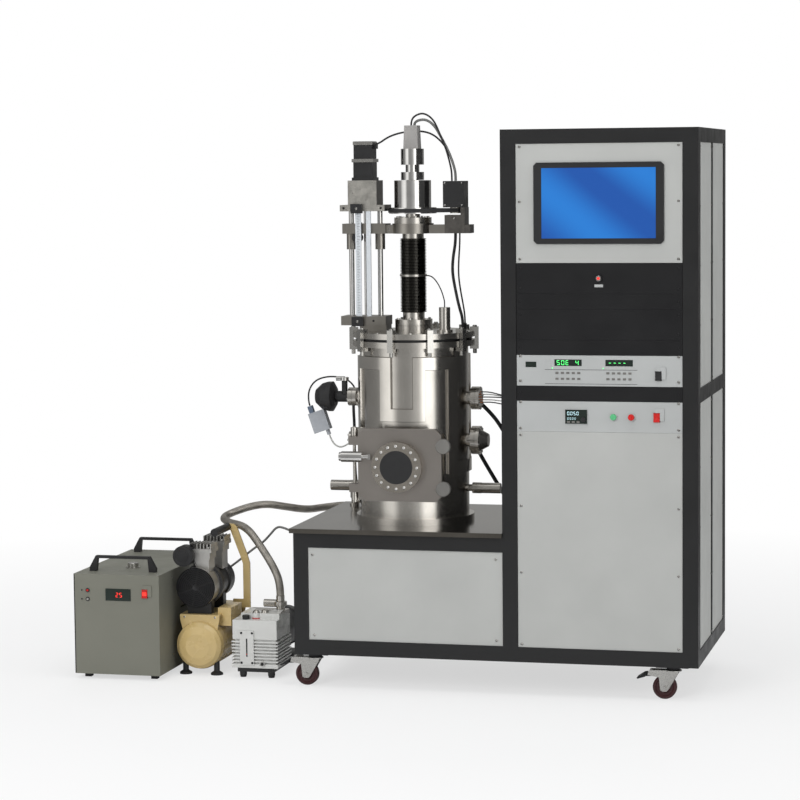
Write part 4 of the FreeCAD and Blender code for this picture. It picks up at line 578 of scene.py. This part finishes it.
def make_cords():
    """Each route lists the points of the CAD cord that it covers."""
    braid = [
        (308, 656.1, 374), (308, 700, 374), (246, 724, 388), (130, 712, 430), (0, 690, 465), (-86, 650, 458),
        (-129, 600, 455), (-191, 550, 471), (-240, 516, 483), (-297, 490, 474), (-362, 432, 449),
        (-322, 362, 442), (-248, 322, 437), (-190, 280, 385), (-130, 246, 312), (-111, 230, 268), (-111, 230, 236.2)]
    cord_piece("vacuum_hose_braid", braid, 12, "hose_braid", "vacuum_hose")

    # Radii
    wire, lead, cable, air, loop, tube, hose = 1.8, 2.5, 2.8, 3.5, 4, 4.5, 6
    routes = {
        "gauge_lead_top": (lead, "black_rubber", [
            (-24.1, 285, 820.9), (-29, 285, 835), (-27, 285, 872), (-4, 286, 902), (38, 292, 913), (86, 308, 906),
            (114, 324, 874), (118, 340, 800), (130, 380, 700)]),
        "gauge_lead_low": (lead, "white_cable", [
            (37.1, 285, 732.7), (41.6, 285, 719.8), (54, 286, 700), (74, 291, 692), (96, 306, 706),
            (114, 334, 714), (118, 352, 716)]),
        "left_tube": (tube, "black_rubber", [
            (115, 285, 822.6), (115, 285, 806), (112, 304, 764), (108, 318, 710), (108, 320, 620),
            (112, 330, 560), (120, 352, 520), (122, 358, 508), (122, 358, 480.3)]),
        "air_tube": (air, "grey_cable", [
            (-301.2, 327, 306.9), (-284, 328, 319), (-253, 330, 344), (-221, 332, 369), (-196, 331, 385),
            (-168, 321, 413), (-142, 307, 440), (-114, 290, 439), (-80, 274, 429), (-40, 258, 412),
            (-14, 250, 402), (2.7, 250, 402)]),
        "right_hose": (hose, "black_rubber", [
            (496, 330, 838), (524, 336, 812), (560, 342, 768), (594, 354, 700), (616, 360, 668), (636.9, 360, 668)]),
        "right_hose_low": (hose, "black_rubber", [
            (484, 335, 705), (505, 338, 664), (540, 342, 604), (582, 354, 530), (612, 362, 500), (636.9, 362, 500)])}
    for i, (y, z) in enumerate(PINS):
        drop = 6 + 5 * abs(i - 2)
        routes[f"heater_wire_{i}"] = (wire, ("black_rubber", "white_cable")[i % 2], [
            (514.3, y, z), (522, y, z), (544, y - 2 + 2 * i, z), (572, y - 4 + 5 * i, z + 2 - drop / 2),
            (600, y - 4 + 7 * i, z + 2 - drop), (624, y - 4 + 9 * i, z + 5), (636.9, y - 4 + 9 * i, z + 5)])
    for name, (radius, look, points) in routes.items():
        cord_piece(name, points, radius, look, "signal_cables")

    cord_piece("loop_black", [
        (306, 282, 1675.4), (306, 282, 1690), (318, 282, 1705), (345, 282, 1713), (375, 282, 1693),
        (394, 283, 1650), (414, 285, 1600), (427, 285, 1550), (430, 285, 1527), (430, 285, 1507.4)],
        cable, "black_rubber", "lift_cables", "carriage")
    cord_piece("loop_grey", [
        (314, 291, 1675.4), (314, 291, 1683), (326, 291, 1691), (350, 292, 1693), (376, 292, 1675),
        (400, 292, 1632), (422, 292, 1590), (436, 292, 1548), (440, 292, 1528), (440, 292, 1507.4)],
        loop, "grey_cable", "lift_cables", "carriage")
    crossing_cord("motor_lead", [
        (189.2, 300, 1620), (200, 301, 1622), (226, 312, 1642), (264, 320, 1655), (320, 322, 1660),
        (366, 312, 1650), (404, 304, 1616), (430, 302, 1570), (437, 302, 1530), (437, 302, 1507.4)],
        cable, "black_rubber")
    crossing_cord("bundle", [
        (440, 285, 1349.4), (440, 285, 1322), (432, 282, 1276), (430, 280, 1232), (440, 276, 1180),
        (454, 264, 1128), (466, 262, 1092), (466, 262, 1054.4)],
        tube, "black_rubber")
    crossing_cord("bundle_thin", [
        (452, 290, 1349.4), (452, 290, 1318), (448, 290, 1270), (447, 289, 1220), (455, 286, 1170),
        (466, 279, 1120), (470, 275, 1088), (470, 275, 1054.4)],
        lead, "black_rubber")
    crossing_cord("bellows_lead", [
        (349, 272, 1222), (364, 262, 1224), (384, 250, 1212), (404, 238, 1184), (417, 226, 1152),
        (418, 225, 1142), (418, 225, 1129.9)],
        wire, "black_rubber")


make_cords()


# Lift and bellows

def make_bellows():
    """Two stacks of folds with a plain ring between them and a cuff at each end."""
    pile = Pile("bellows_folds", "bellows_steel")
    bore, cuff, root, crest, ring = 26, 33, 35.2, 40.2, 41.4
    foot, first, second, top = 1090.2, 1111, 1227, 1336
    ring_low, ring_high = 1220, 1226
    pitch, folds = 4.5, 24
    profile = [(bore, foot), (cuff, foot), (cuff, first - 1)]
    for start in (first, second):
        for i in range(folds):
            z = start + i * pitch
            profile += [(root, z), (crest, z + pitch * 0.4), (crest, z + pitch * 0.6)]
        if start == first:
            profile += [(root, ring_low - 0.5), (ring, ring_low), (ring, ring_high), (root, ring_high + 0.5)]
    profile += [(root, top - 1), (cuff, top - 0.5), (cuff, top), (bore, top)]
    pile.lathe((*CHAMBER, 0), profile, "z", 72)
    obj = pile.done(nodes=["bellows"], ride=False)
    obj.data.materials.append(LOOKS["stainless"])
    for face in obj.data.polygons:
        z = face.center.z / MM
        if z < first - 0.5 or z > top - 0.8 or ring_low - 0.4 < z < ring_high + 0.4:
            face.material_index = 1
    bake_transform(obj)


def lift_look(x, y, z, normal):
    """Guide rods are ground steel, and the plates are milled aluminium; faces that look to +X take the darker milled
    look as painted shade.
    """
    if 1100 < z < 1418 and min(abs(x - rod) for rod in (115, 205)) < 9 and abs(y - CHAMBER[1]) < 9:
        return "chrome_steel"
    if 1100.5 < z < 1417.5 and y < 250 and x < 187:
        return "pale_strip"  # the scale
    if y < 242.5 and 120 < x < 170:
        return "black_plastic"  # the limit switches
    # painted shade: faces that look to +X are darkened
    if normal.x > 0.7:
        return "dark_milled"
    if z < 1103 or (z < 1450 and normal.z > -0.5 and (x < 110 or x > 212)):
        return "plate_steel"
    return "aluminium_milled"


def motor_look(x, y, z, normal):
    """A bare collar between the black coupling and the black motor."""
    return "zinc_steel" if 1565.5 < z < 1575.5 else "motor_black"


def carriage_look(x, y, z, normal):
    """The pointer is plastic, the motor bracket is darker, and faces that look to +X are darker as painted shade."""
    if y < 250.9 and x < 165 and z < 1395:
        return "black_plastic"
    bracket = x > 411 and y < 300 and abs(normal.y) > 0.7
    # painted shade: faces that look to +X take the darker milled look
    return "dark_milled" if bracket or normal.x > 0.7 else "plate_steel"


def column_look(x, y, z, normal):
    """Stainless column, ground neck and plastic plug, from below."""
    if z > 1594.5:
        return "grey_plug"
    return "chrome_steel" if z > 1505 else "stainless"


def make_lift():
    make_bellows()
    split("lift_frame", lift_look, 0.6)
    split("lift_motor", motor_look, 0.8)
    split("lift_carriage", carriage_look, 0.6)
    split("rotary_feedthrough", column_look)
    screw_set("drive_screws", "chrome_steel", [
        (415, 253, 1434, 2.8), (415, 253, 1501, 2.8), (467, 253, 1434, 2.8), (467, 253, 1501, 2.8),
        (240, 257, 1363, 3.2), (262, 257, 1363, 3.2), (442, 255, 1394, 3.4)], "carriage")
    screw_set("switch_screws", "zinc_steel", [(144, 231, 1084, 4), (144, 231, 1426, 4)])
    screw_set("plate_screws", "black_coat", [
        (102, 243, 1427.5, 3.6), (218, 243, 1427.5, 3.6), (128, 243, 1086, 3.4), (192, 243, 1086, 3.4)])
    marks = []
    for i in range(61):
        z = 1112 + i * 5
        wide = 9 if i % 2 == 0 else 5.5
        marks.append(((143, 242.6, z - 0.4), (143 + wide, 243, z + 0.4)))
    box_set("scale_marks", "black_plastic", marks)
    box_set("motor_cap", "zinc_steel", [((129.6, 254.6, 1618), (190.4, 315.4, 1628.2))], 0.8)
    ring = Pile("column_bolts", "zinc_steel", "carriage")
    for x, y in around(8, CHAMBER, 47, 22.5):
        ring.rod((x, y, 1398), 4, 4.2, "z", 6)
    ring.done()


make_lift()


# Chamber

def door_look(x, y, z, normal):
    """The window's raised ring is polished, and the drive cylinder is bright."""
    if y < 74.7 and math.dist((x, z), WINDOW) < 77:
        return "ring_steel"
    return "chrome_steel" if y < 74.7 and x < 262 and z > 670 else "door_steel"


def gauge_look(x, y, z, normal):
    """A black gauge with a bright cap, and below it the white amplifier with its plug."""
    if z > 800 and x < -3:
        return "blue_grey"
    if z < 805:
        return "box_white"
    return "chrome_steel" if z > 896 else "black_plastic"


def dress_jacket():
    """The cooling channel is brighter than the shell, with its outer edges cut off at a slant."""
    outer_radius, sharp, cut = 172, 0.7, 6
    obj = frame["nodes"]["cooling_jacket"]
    dress(obj, "channel_steel")
    mesh = obj.data
    outer = set()
    for corner in mesh.vertices:
        place = obj.matrix_world @ corner.co / MM + ORIGIN
        if math.hypot(*(place - Vector((*CHAMBER, 0))).xy) > outer_radius:
            outer.add(corner.index)
    cells = bmesh.new()
    cells.from_mesh(mesh)
    slant = cells.edges.layers.float.new("bevel_weight_edge")
    for edge in cells.edges:
        if edge.verts[0].index in outer and edge.verts[1].index in outer and edge.calc_face_angle(0) > sharp:
            edge[slant] = 1
    cells.to_mesh(mesh)
    cells.free()
    soften(obj, cut, 1, "WEIGHT")


def make_seams():
    """Weld beads along both edges of the channel's front half."""
    pile = Pile("channel_seams", "seam_steel")
    shell, bead, sides = 166, 1.7, 8

    # The channel is so wide where it runs level, and so many degrees broad where it climbs.
    wide, arc = 37, 12.25
    top, mid, low = 983, 792, 630
    left, inner, outer, right, step = -70, -11, 12, 62, 4  # degrees, from the front
    for angle, z, stop_angle, stop_z in (
            (left, top, inner, top), (inner, top, inner, mid + wide), (inner, mid + wide, outer, mid + wide),
            (outer, mid + wide, outer, top), (outer, top, right, top), (right, top, right, low + wide),
            (left, top - wide, inner - arc, top - wide), (inner - arc, top - wide, inner - arc, mid),
            (inner - arc, mid, outer + arc, mid), (outer + arc, mid, outer + arc, top - wide),
            (outer + arc, top - wide, right - arc, top - wide), (right - arc, top - wide, right - arc, low)):
        steps = int(abs(stop_angle - angle) / step) + 2
        line = []
        for i in range(steps):
            part = i / (steps - 1)
            turn = math.radians(angle + (stop_angle - angle) * part)
            line.append((CHAMBER[0] + shell * math.sin(turn), CHAMBER[1] - shell * math.cos(turn),
                         z + (stop_z - z) * part))
        pile.tube(line, bead, sides)
    pile.done()


def make_chamber():
    make_seams()
    dress_jacket()
    dress(frame["nodes"]["viewport_flange"], "ring_steel", 1.0)
    split("chamber_door", door_look, 1.2)
    split("vacuum_gauge", gauge_look, 0.8)
    for node in ("door_clamp_upper", "door_clamp_lower"):
        dress(frame["nodes"][node], "grey_knob", 1.0)
    rim = 55
    bolts = Pile("viewport_bolts", "chrome_steel", "door")
    for x, z in around(16, WINDOW, 64):
        bolts.lathe((x, rim, z), [(5.2, 0), (5.2, 2), (4.6, 3.4), (3.2, 4.4), (1.6, 4.9), (0.4, 5)], "-y", 20)
    bolts.done()
    seal = Pile("viewport_seal", "black_rubber", "door")
    seal.lathe((WINDOW[0], rim, WINDOW[1]), [(46.3, -0.5), (49.8, -0.5), (49.8, 1.2), (46.3, 1.2)], "-y", 64)
    seal.done()
    ring = Pile("lid_seal", "black_rubber")
    ring.lathe((*CHAMBER, 0), [(170, 1029.2), (176, 1029.2), (176, 1036.8), (170, 1036.8)], "z", 96)
    ring.done()
    port_bolts = Pile("port_bolts", "zinc_steel")
    for x, axis, z, radius, count in (
            (514, "x", 851, 29, 6), (514, "x", 723, 37, 8), (102, "-x", 851, 22, 6), (102, "-x", 723, 15.5, 6)):
        for y, rise in around(count, (CHAMBER[1], z), radius, 15):
            port_bolts.rod((x, y, rise), 3.2, 3.1, axis, 6)
    for x, y in around(10, CHAMBER, 172, 28):
        port_bolts.rod((x, y, 1054), 2.5, 4.5, "z", 6)
    for x, y in around(6, CHAMBER, 50, 30):
        port_bolts.rod((x, y, 1090), 4, 4.2, "z", 6)
    port_bolts.done()
    pins = Pile("feedthrough_pins", "copper")
    for y, z in PINS:
        pins.rod((510, y, z), 9, 2.6, "x", 14)
    pins.done()


make_chamber()


# Rack and bench

# The bars of a seven-segment figure, from the top one, a, round to the middle one, g
SEGMENTS = {
    "0": "abcdef", "1": "bc", "2": "abged", "3": "abgcd", "4": "fgbc", "5": "afgcd", "6": "afgedc",
    "7": "abc", "8": "abcdefg", "9": "abcdfg", "E": "afged", "-": "g"}


def digits(pile, text, x, z, y, wide, tall, gap):
    """Seven-segment figures that start at x with their feet at z, on a face at y."""
    bar, relief = tall * 0.11, 0.3
    for figure in text:
        spans = {
            "a": (bar, tall - bar, wide - bar, tall),
            "g": (bar, tall / 2 - bar / 2, wide - bar, tall / 2 + bar / 2),
            "d": (bar, 0, wide - bar, bar), "f": (0, tall / 2 + bar / 2, bar, tall - bar / 2),
            "b": (wide - bar, tall / 2 + bar / 2, wide, tall - bar / 2),
            "e": (0, bar / 2, bar, tall / 2 - bar / 2), "c": (wide - bar, bar / 2, wide, tall / 2 - bar / 2)}
        for key in SEGMENTS[figure]:
            x0, z0, x1, z1 = spans[key]
            pile.box((x + x0, y - relief, z + z0), (x + x1, y, z + z1))
        x += wide + gap


def make_screws():
    """The screws of rack, bench and cabinet panels."""
    columns = (694, 1155)
    bright = Pile("panel_screws", "zinc_steel")
    for x in columns:
        for z in (1604, 1446, 1281, 770, 562, 366, 154, 1000, 928, 866, 790):
            bright.screw((x, 2, z), 4.2, "-y")
    for x, z in ((59, 401), (62, 159), (617, 401), (618, 161)):
        bright.screw((x, 3, z), 4.2, "-y")
    for low, high in ((157, 853), (919, 1601)):
        for y in (52, 304, 336, 588):
            for i in range(5):
                bright.screw((1209, y, low + i * (high - low) / 4), 4, "x")
    for x in (54, 628):
        for z in (155, 290, 412):
            bright.screw((x, 637, z), 4, "y")
    for x in (692, 1157):
        for i in range(7):
            bright.screw((x, 637, 160 + i * 238), 4, "y")
    bright.done()
    screw_set("rack_screws", "black_coat", [
        (x, 2, z, 3.6) for x in columns for z in (1255, 1196, 1159, 1120, 1065, 1025, 892)])


def make_rack():
    """What the rack units and the chiller's panel show: screen, figures, lenses and keys."""
    box_set("screen_image", "screen_picture", [((758.9, -2.7, 1340.4), (1090.1, -2.0, 1542.6))])
    lens = Pile("power_lens", "red_light", "power_button")
    lens.rod((924.5, -6, 1225.6), 0.5, 4, "-y", 24)
    lens.done()
    box_set("bare_plates", "case_coat", [((912, 1.4, 1200), (937, 2, 1208))], 0.5)

    box_set("display_windows", "display_dark", [
        ((794.4, 1.7, 972.4), (874, 2.6, 991)), ((943.4, 1.7, 972.4), (1023, 2.6, 991)),
        ((825.5, -1.8, 805), (890, -1.0, 846)), ((709, 1.5, 968), (741, 2, 984)),
        ((-599, 3.2, 243), (-518, 5, 280))], 0.3)
    green = Pile("green_figures", "green_light")
    digits(green, "50E", 801, 975, 1.7, 9, 13.5, 4)
    digits(green, "4", 856, 975, 1.7, 9, 13.5, 4)
    digits(green, "----", 952, 975, 1.7, 9, 13.5, 5)
    for x in (788, 937):
        green.rod((x, 2, 966), 0.8, 1.6, "-y", 12)
    green.done()
    speed = Pile("speed_figures", "amber_light")
    digits(speed, "0050", 832, 830, -1.8, 6, 10, 3)
    digits(speed, "0000", 832, 817, -1.8, 4, 6, 3)
    speed.done()
    red = Pile("red_figures", "red_light")
    digits(red, "25", -566, 254, 3.2, 8, 14, 4)
    red.box((-479, 0.6, 261), (-467, 1.2, 272))
    red.done()
    alarm = Pile("alarm_lens", "red_plastic")
    alarm.rod((-657, 3, 273), 1.4, 3.6, "-y", 16)
    alarm.done()

    keys = []
    for start in (797, 946):
        for x in range(start, start + 80, 16):
            keys += [((x, 0.6, 949), (x + 9, 2, 955)), ((x, 0.6, 932), (x + 9, 2, 938))]
    for x in (831, 845, 859):
        keys.append(((x, -2.6, 807.5), (x + 9, -1.8, 813)))
    box_set("panel_keys", "grey_knob", keys, 0.4)
    sockets = Pile("panel_sockets", "black_plastic")
    for x, length, radius, sides in ((-657, 2, 6.5, 24), (-676, 1.2, 2.4, 16)):
        for z in (246, 273):
            sockets.rod((x, 5, z), length, radius, "-y", sides)
    sockets.done()
    box_set("panel_lines", "black_coat", [
        ((766, 1.6, 920), (1036, 2, 921)), ((766, 1.6, 961), (1036, 2, 962))])


def cabinet_look(x, y, z, normal):
    """The side that faces the chamber is painted near black: painted shade, which the chamber's metal also mirrors as
    a dark band.
    """
    return "side_coat" if x < 645 else "panel_coat"


def make_cabinet():
    split("cabinet_panels", cabinet_look, 0.6)
    make_screws()
    make_rack()
    dress(frame["nodes"]["chiller_rocker"], "red_plastic")
    for node in ("rack_panels", "bench_panels", "rack_blanks", "control_computer", "gauge_controller",
                 "pump_controller", "chiller_rocker", "mains_rocker", "gauge_rocker"):
        soften(frame["nodes"][node], 0.4, 1, degrees=50, harden=False)


make_cabinet()


# Chiller, compressor and backing pump

def chiller_look(x, y, z, normal):
    """Plastic handles on top, rubber feet below."""
    if z > 323.5:
        return "black_plastic"
    return "black_rubber" if z < 15 else "chiller_coat"


def compressor_look(x, y, z, normal):
    """The tank and its brackets are cream; the motor, the heads and the small parts differ."""
    from_motor = math.dist((x, z), MOTOR)
    motor_radius = 66.5
    if z < 47 and math.dist((x, z), TANK) > 77:
        return "black_rubber"  # feet
    if math.dist((x, z), (-306, 434)) < 12.6 and 179 < y < 313:
        return "black_plastic"  # grip
    if 313.5 < y < 322.5 and x > -312 and from_motor > motor_radius:
        return "cream_coat"  # rear bracket
    if x < -354 and z > 334 and y < 155:
        return "black_plastic"  # intake filter
    if z > 356 and x < -265 and y < 321:
        return "cast_alloy"  # heads
    if z > 187 and (x < -288 or (x < -281 and z > 206)):
        if from_motor < motor_radius:
            if y < 121:
                return "black_plastic"  # fan's cover
            return "cast_alloy" if y <= 190 or 209 <= y < 213 else "motor_black"
        if -386 < x < -300 and z < 243:
            return "motor_black"  # motor's foot
        return "cast_alloy" if z > 300 else "cream_coat"
    return "cream_coat"


def pump_look(x, y, z, normal):
    """A pale pump with black feet and motor, a stainless inlet and a plain front."""
    if z < 31.5 or (y > 255.5 and z < 175):
        return "motor_black"
    if z > 178.5:
        if math.dist((x, y), (-191, 127)) < 12.5:
            return "black_plastic"  # filler cap
        if z > 194.5 or (y > 205 and x > -172):
            return "stainless"
    if y < 101.5 and z > 40:
        return "case_coat" if x < -150 else "zinc_steel"
    return "pump_coat"


def make_supplies():
    split("chiller_case", chiller_look, 0.8)
    split("air_compressor", compressor_look, 0.7)
    split("backing_pump", pump_look, 0.8)

    guard = Pile("fan_grille", "fan_guard")
    profile = [(2, 0)]
    for radius in range(8, 62, 6):
        profile += [(radius, 3.0), (radius + 3, 3.0), (radius + 3.2, 0.8), (radius + 5.8, 0.8)]
    guard.lathe((MOTOR[0], 120, MOTOR[1]), profile[::-1] + [(0.5, 0.8)], "-y", 56)
    for (x0, z0), (x1, z1) in zip(around(6, MOTOR, 10, 20), around(6, MOTOR, 58, 20)):
        guard.tube([(x0, 117.5, z0), (x1, 117.5, z1)], 1.6, 8)
    guard.lathe((-387, 114, 368), [(31, 0), (31, 1.5), (24, 1.5), (23, 0.4), (16, 0.4), (15, 1.5), (4, 1.5)], "-y", 48)
    guard.done()

    box_set("chiller_trim", "black_plastic", [((-701.8, 4.4, 16), (-698.6, 6, 322))], 0.3)
    cap = Pile("filler_cap", "zinc_steel")
    cap.lathe((-561, 150, 323), [(21, 0), (21, 3), (17, 4), (17, 14), (15, 16), (3, 16)], "z", 40)
    for x in (-690, -440):
        for y in (30, 500):
            cap.screw((x, y, 323), 3.6, "z")
    cap.rod((-657, 5, 246), 3, 3.6, "-y", 20)
    for y in (130, 400):
        for z in (60, 300):
            cap.screw((-428, y, z), 3.4, "x")
    cap.done()

    black = Pile("pump_screws", "black_coat")
    for x in (-199, -165):
        for z in (47, 139):
            black.screw((x, 102, z), 3.6, "-y")
    black.box((-184, 101.2, 66), (-180, 102.2, 122))
    black.rod((-133, 100, 45), 1.2, 5, "-y", 16)
    black.done()
    red = Pile("pump_marks", "red_plastic")
    for x, y in ((-163, 145), (-139, 157)):
        red.rod((x, y, 178.4), 2.4, 13.4, "z", 28)
    red.rod((-182, 101.6, 74), 0.6, 1.8, "-y", 12)
    red.done()
    bolts = Pile("compressor_bolts", "zinc_steel")
    for middle, rows, z in ((-337, (145, 191), 391), (-329, (253, 299), 400)):
        for x in (middle - 24, middle + 24):
            for y in rows:
                bolts.rod((x, y, z), 3, 4, "z", 6)
    for x in (-390, -292):
        bolts.screw((x, 130, 178), 3.4, "-y")
    bolts.done()


make_supplies()


# Room and light

# What polished metal mirrors, by compass angle: bright soft boxes between dark stretches of the studio
STUDIO = [
    (-180, 0.12), (-156, 0.14), (-142, 0.50), (-124, 0.62), (-112, 0.16), (-88, 0.16), (-66, 0.30), (-58, 1.0),
    (-36, 1.0), (-26, 0.10), (0, 0.03), (44, 0.04), (52, 0.3), (60, 0.04), (100, 0.20), (135, 0.10), (180, 0.12)]

# Each lamp's name, place, width and power
LAMPS = [
    ("key", (-1.6, -5.4, 3.2), 2.6, 150), ("fill", (5.6, -1.2, 2.4), 2.2, 75),
    ("top", (0.2, -0.8, 4.6), 3.0, 50), ("back", (-1.8, 3.6, 3.0), 2.5, 30)]


def studio_bands(tree):
    """The mirrored studio, a little brighter overhead."""
    where = tree.nodes.new("ShaderNodeTexCoord")
    axes = tree.nodes.new("ShaderNodeSeparateXYZ")
    tree.link(where.outputs["Generated"], axes.inputs[0])
    turn = tree.combine("ARCTAN2", axes.outputs["Y"], axes.outputs["X"])
    ramp = tree.nodes.new("ShaderNodeValToRGB")
    tree.link(tree.spread(turn, 0, 1, -math.pi, math.pi), ramp.inputs["Fac"])
    cells = ramp.color_ramp.elements
    while len(cells) < len(STUDIO):
        cells.new(0.5)
    for cell, (angle, shade) in zip(cells, STUDIO):
        cell.position = (angle + 180) / 360
        cell.color = (shade, shade, shade * 0.98, 1)
    back = tree.nodes.new("ShaderNodeBackground")
    tree.link(ramp.outputs["Color"], back.inputs["Color"])
    tree.link(tree.spread(axes.outputs["Z"], 2.0, 2.6, -0.25, 0.65), back.inputs["Strength"])
    return back.outputs["Background"]


def white_floor():
    """A white sweep: it takes the shadows near the machine and is plain white farther off."""
    fade = (1.2, 3.4)  # metres off where shadows give way to white
    mirror_fade = (1.3, 2.4)  # and where mirrors stop seeing the floor
    look = Shader("floor", (0.8, 0.8, 0.8), 0.75)
    look.tint(look.noise(0.7, 2), 0.99, 1.01)
    white = look.nodes.new("ShaderNodeEmission")
    white.inputs["Strength"].default_value = 1.0
    far = look.nodes.new("ShaderNodeVectorMath")
    far.operation = "LENGTH"
    look.link(look.where(), far.inputs[0])
    distance = far.outputs["Value"]
    direct, mirrored = look.rays()
    whitened = look.combine("MULTIPLY", look.spread(distance, 0.62, 1.0, *fade), direct)
    sweep = look.mixed(whitened, look.base.outputs["BSDF"], white.outputs["Emission"])

    # Metal mirrors the studio itself, not a floor that has no end.
    open_air = look.nodes.new("ShaderNodeBsdfTransparent")
    opened = look.combine("MULTIPLY", look.spread(distance, 0, 1, *mirror_fade), mirrored)
    ended = look.mixed(opened, sweep, open_air.outputs["BSDF"])
    look.link(ended, look.nodes["Material Output"].inputs["Surface"])
    return look.material


def make_world():
    """White behind the machine, soft light on it, and the studio in its mirrors."""
    world = bpy.data.worlds.new("room")
    bpy.context.scene.world = world
    world.use_nodes = True
    tree = Tree(world.node_tree)
    soft = tree.nodes["Background"]
    soft.inputs["Color"].default_value = (0.97, 0.985, 1, 1)
    soft.inputs["Strength"].default_value = 0.55
    white = tree.nodes.new("ShaderNodeBackground")
    white.inputs["Color"].default_value = (1, 1, 1, 1)
    direct, mirrored = tree.rays()
    lit = tree.mixed(mirrored, soft.outputs["Background"], studio_bands(tree))
    room = tree.mixed(direct, lit, white.outputs["Background"])
    tree.link(room, tree.nodes["World Output"].inputs["Surface"])


def make_room():
    bpy.ops.mesh.primitive_plane_add(size=60, location=(0, 0, -0.0005))
    floor = bpy.context.object
    floor.name = "floor"
    floor.data.materials.append(white_floor())
    make_world()
    for name, place, size, power in LAMPS:
        data = bpy.data.lights.new(name, "AREA")
        data.size = size
        data.energy = power
        lamp = bpy.data.objects.new(name, data)
        lamp.location = place
        lamp.visible_glossy = False
        lamp.rotation_euler = (Vector((0, 0, 0.8)) - lamp.location).to_track_quat("-Z", "Y").to_euler()
        bpy.context.scene.collection.objects.link(lamp)
    bpy.context.scene.view_settings.view_transform = "Standard"


make_room()
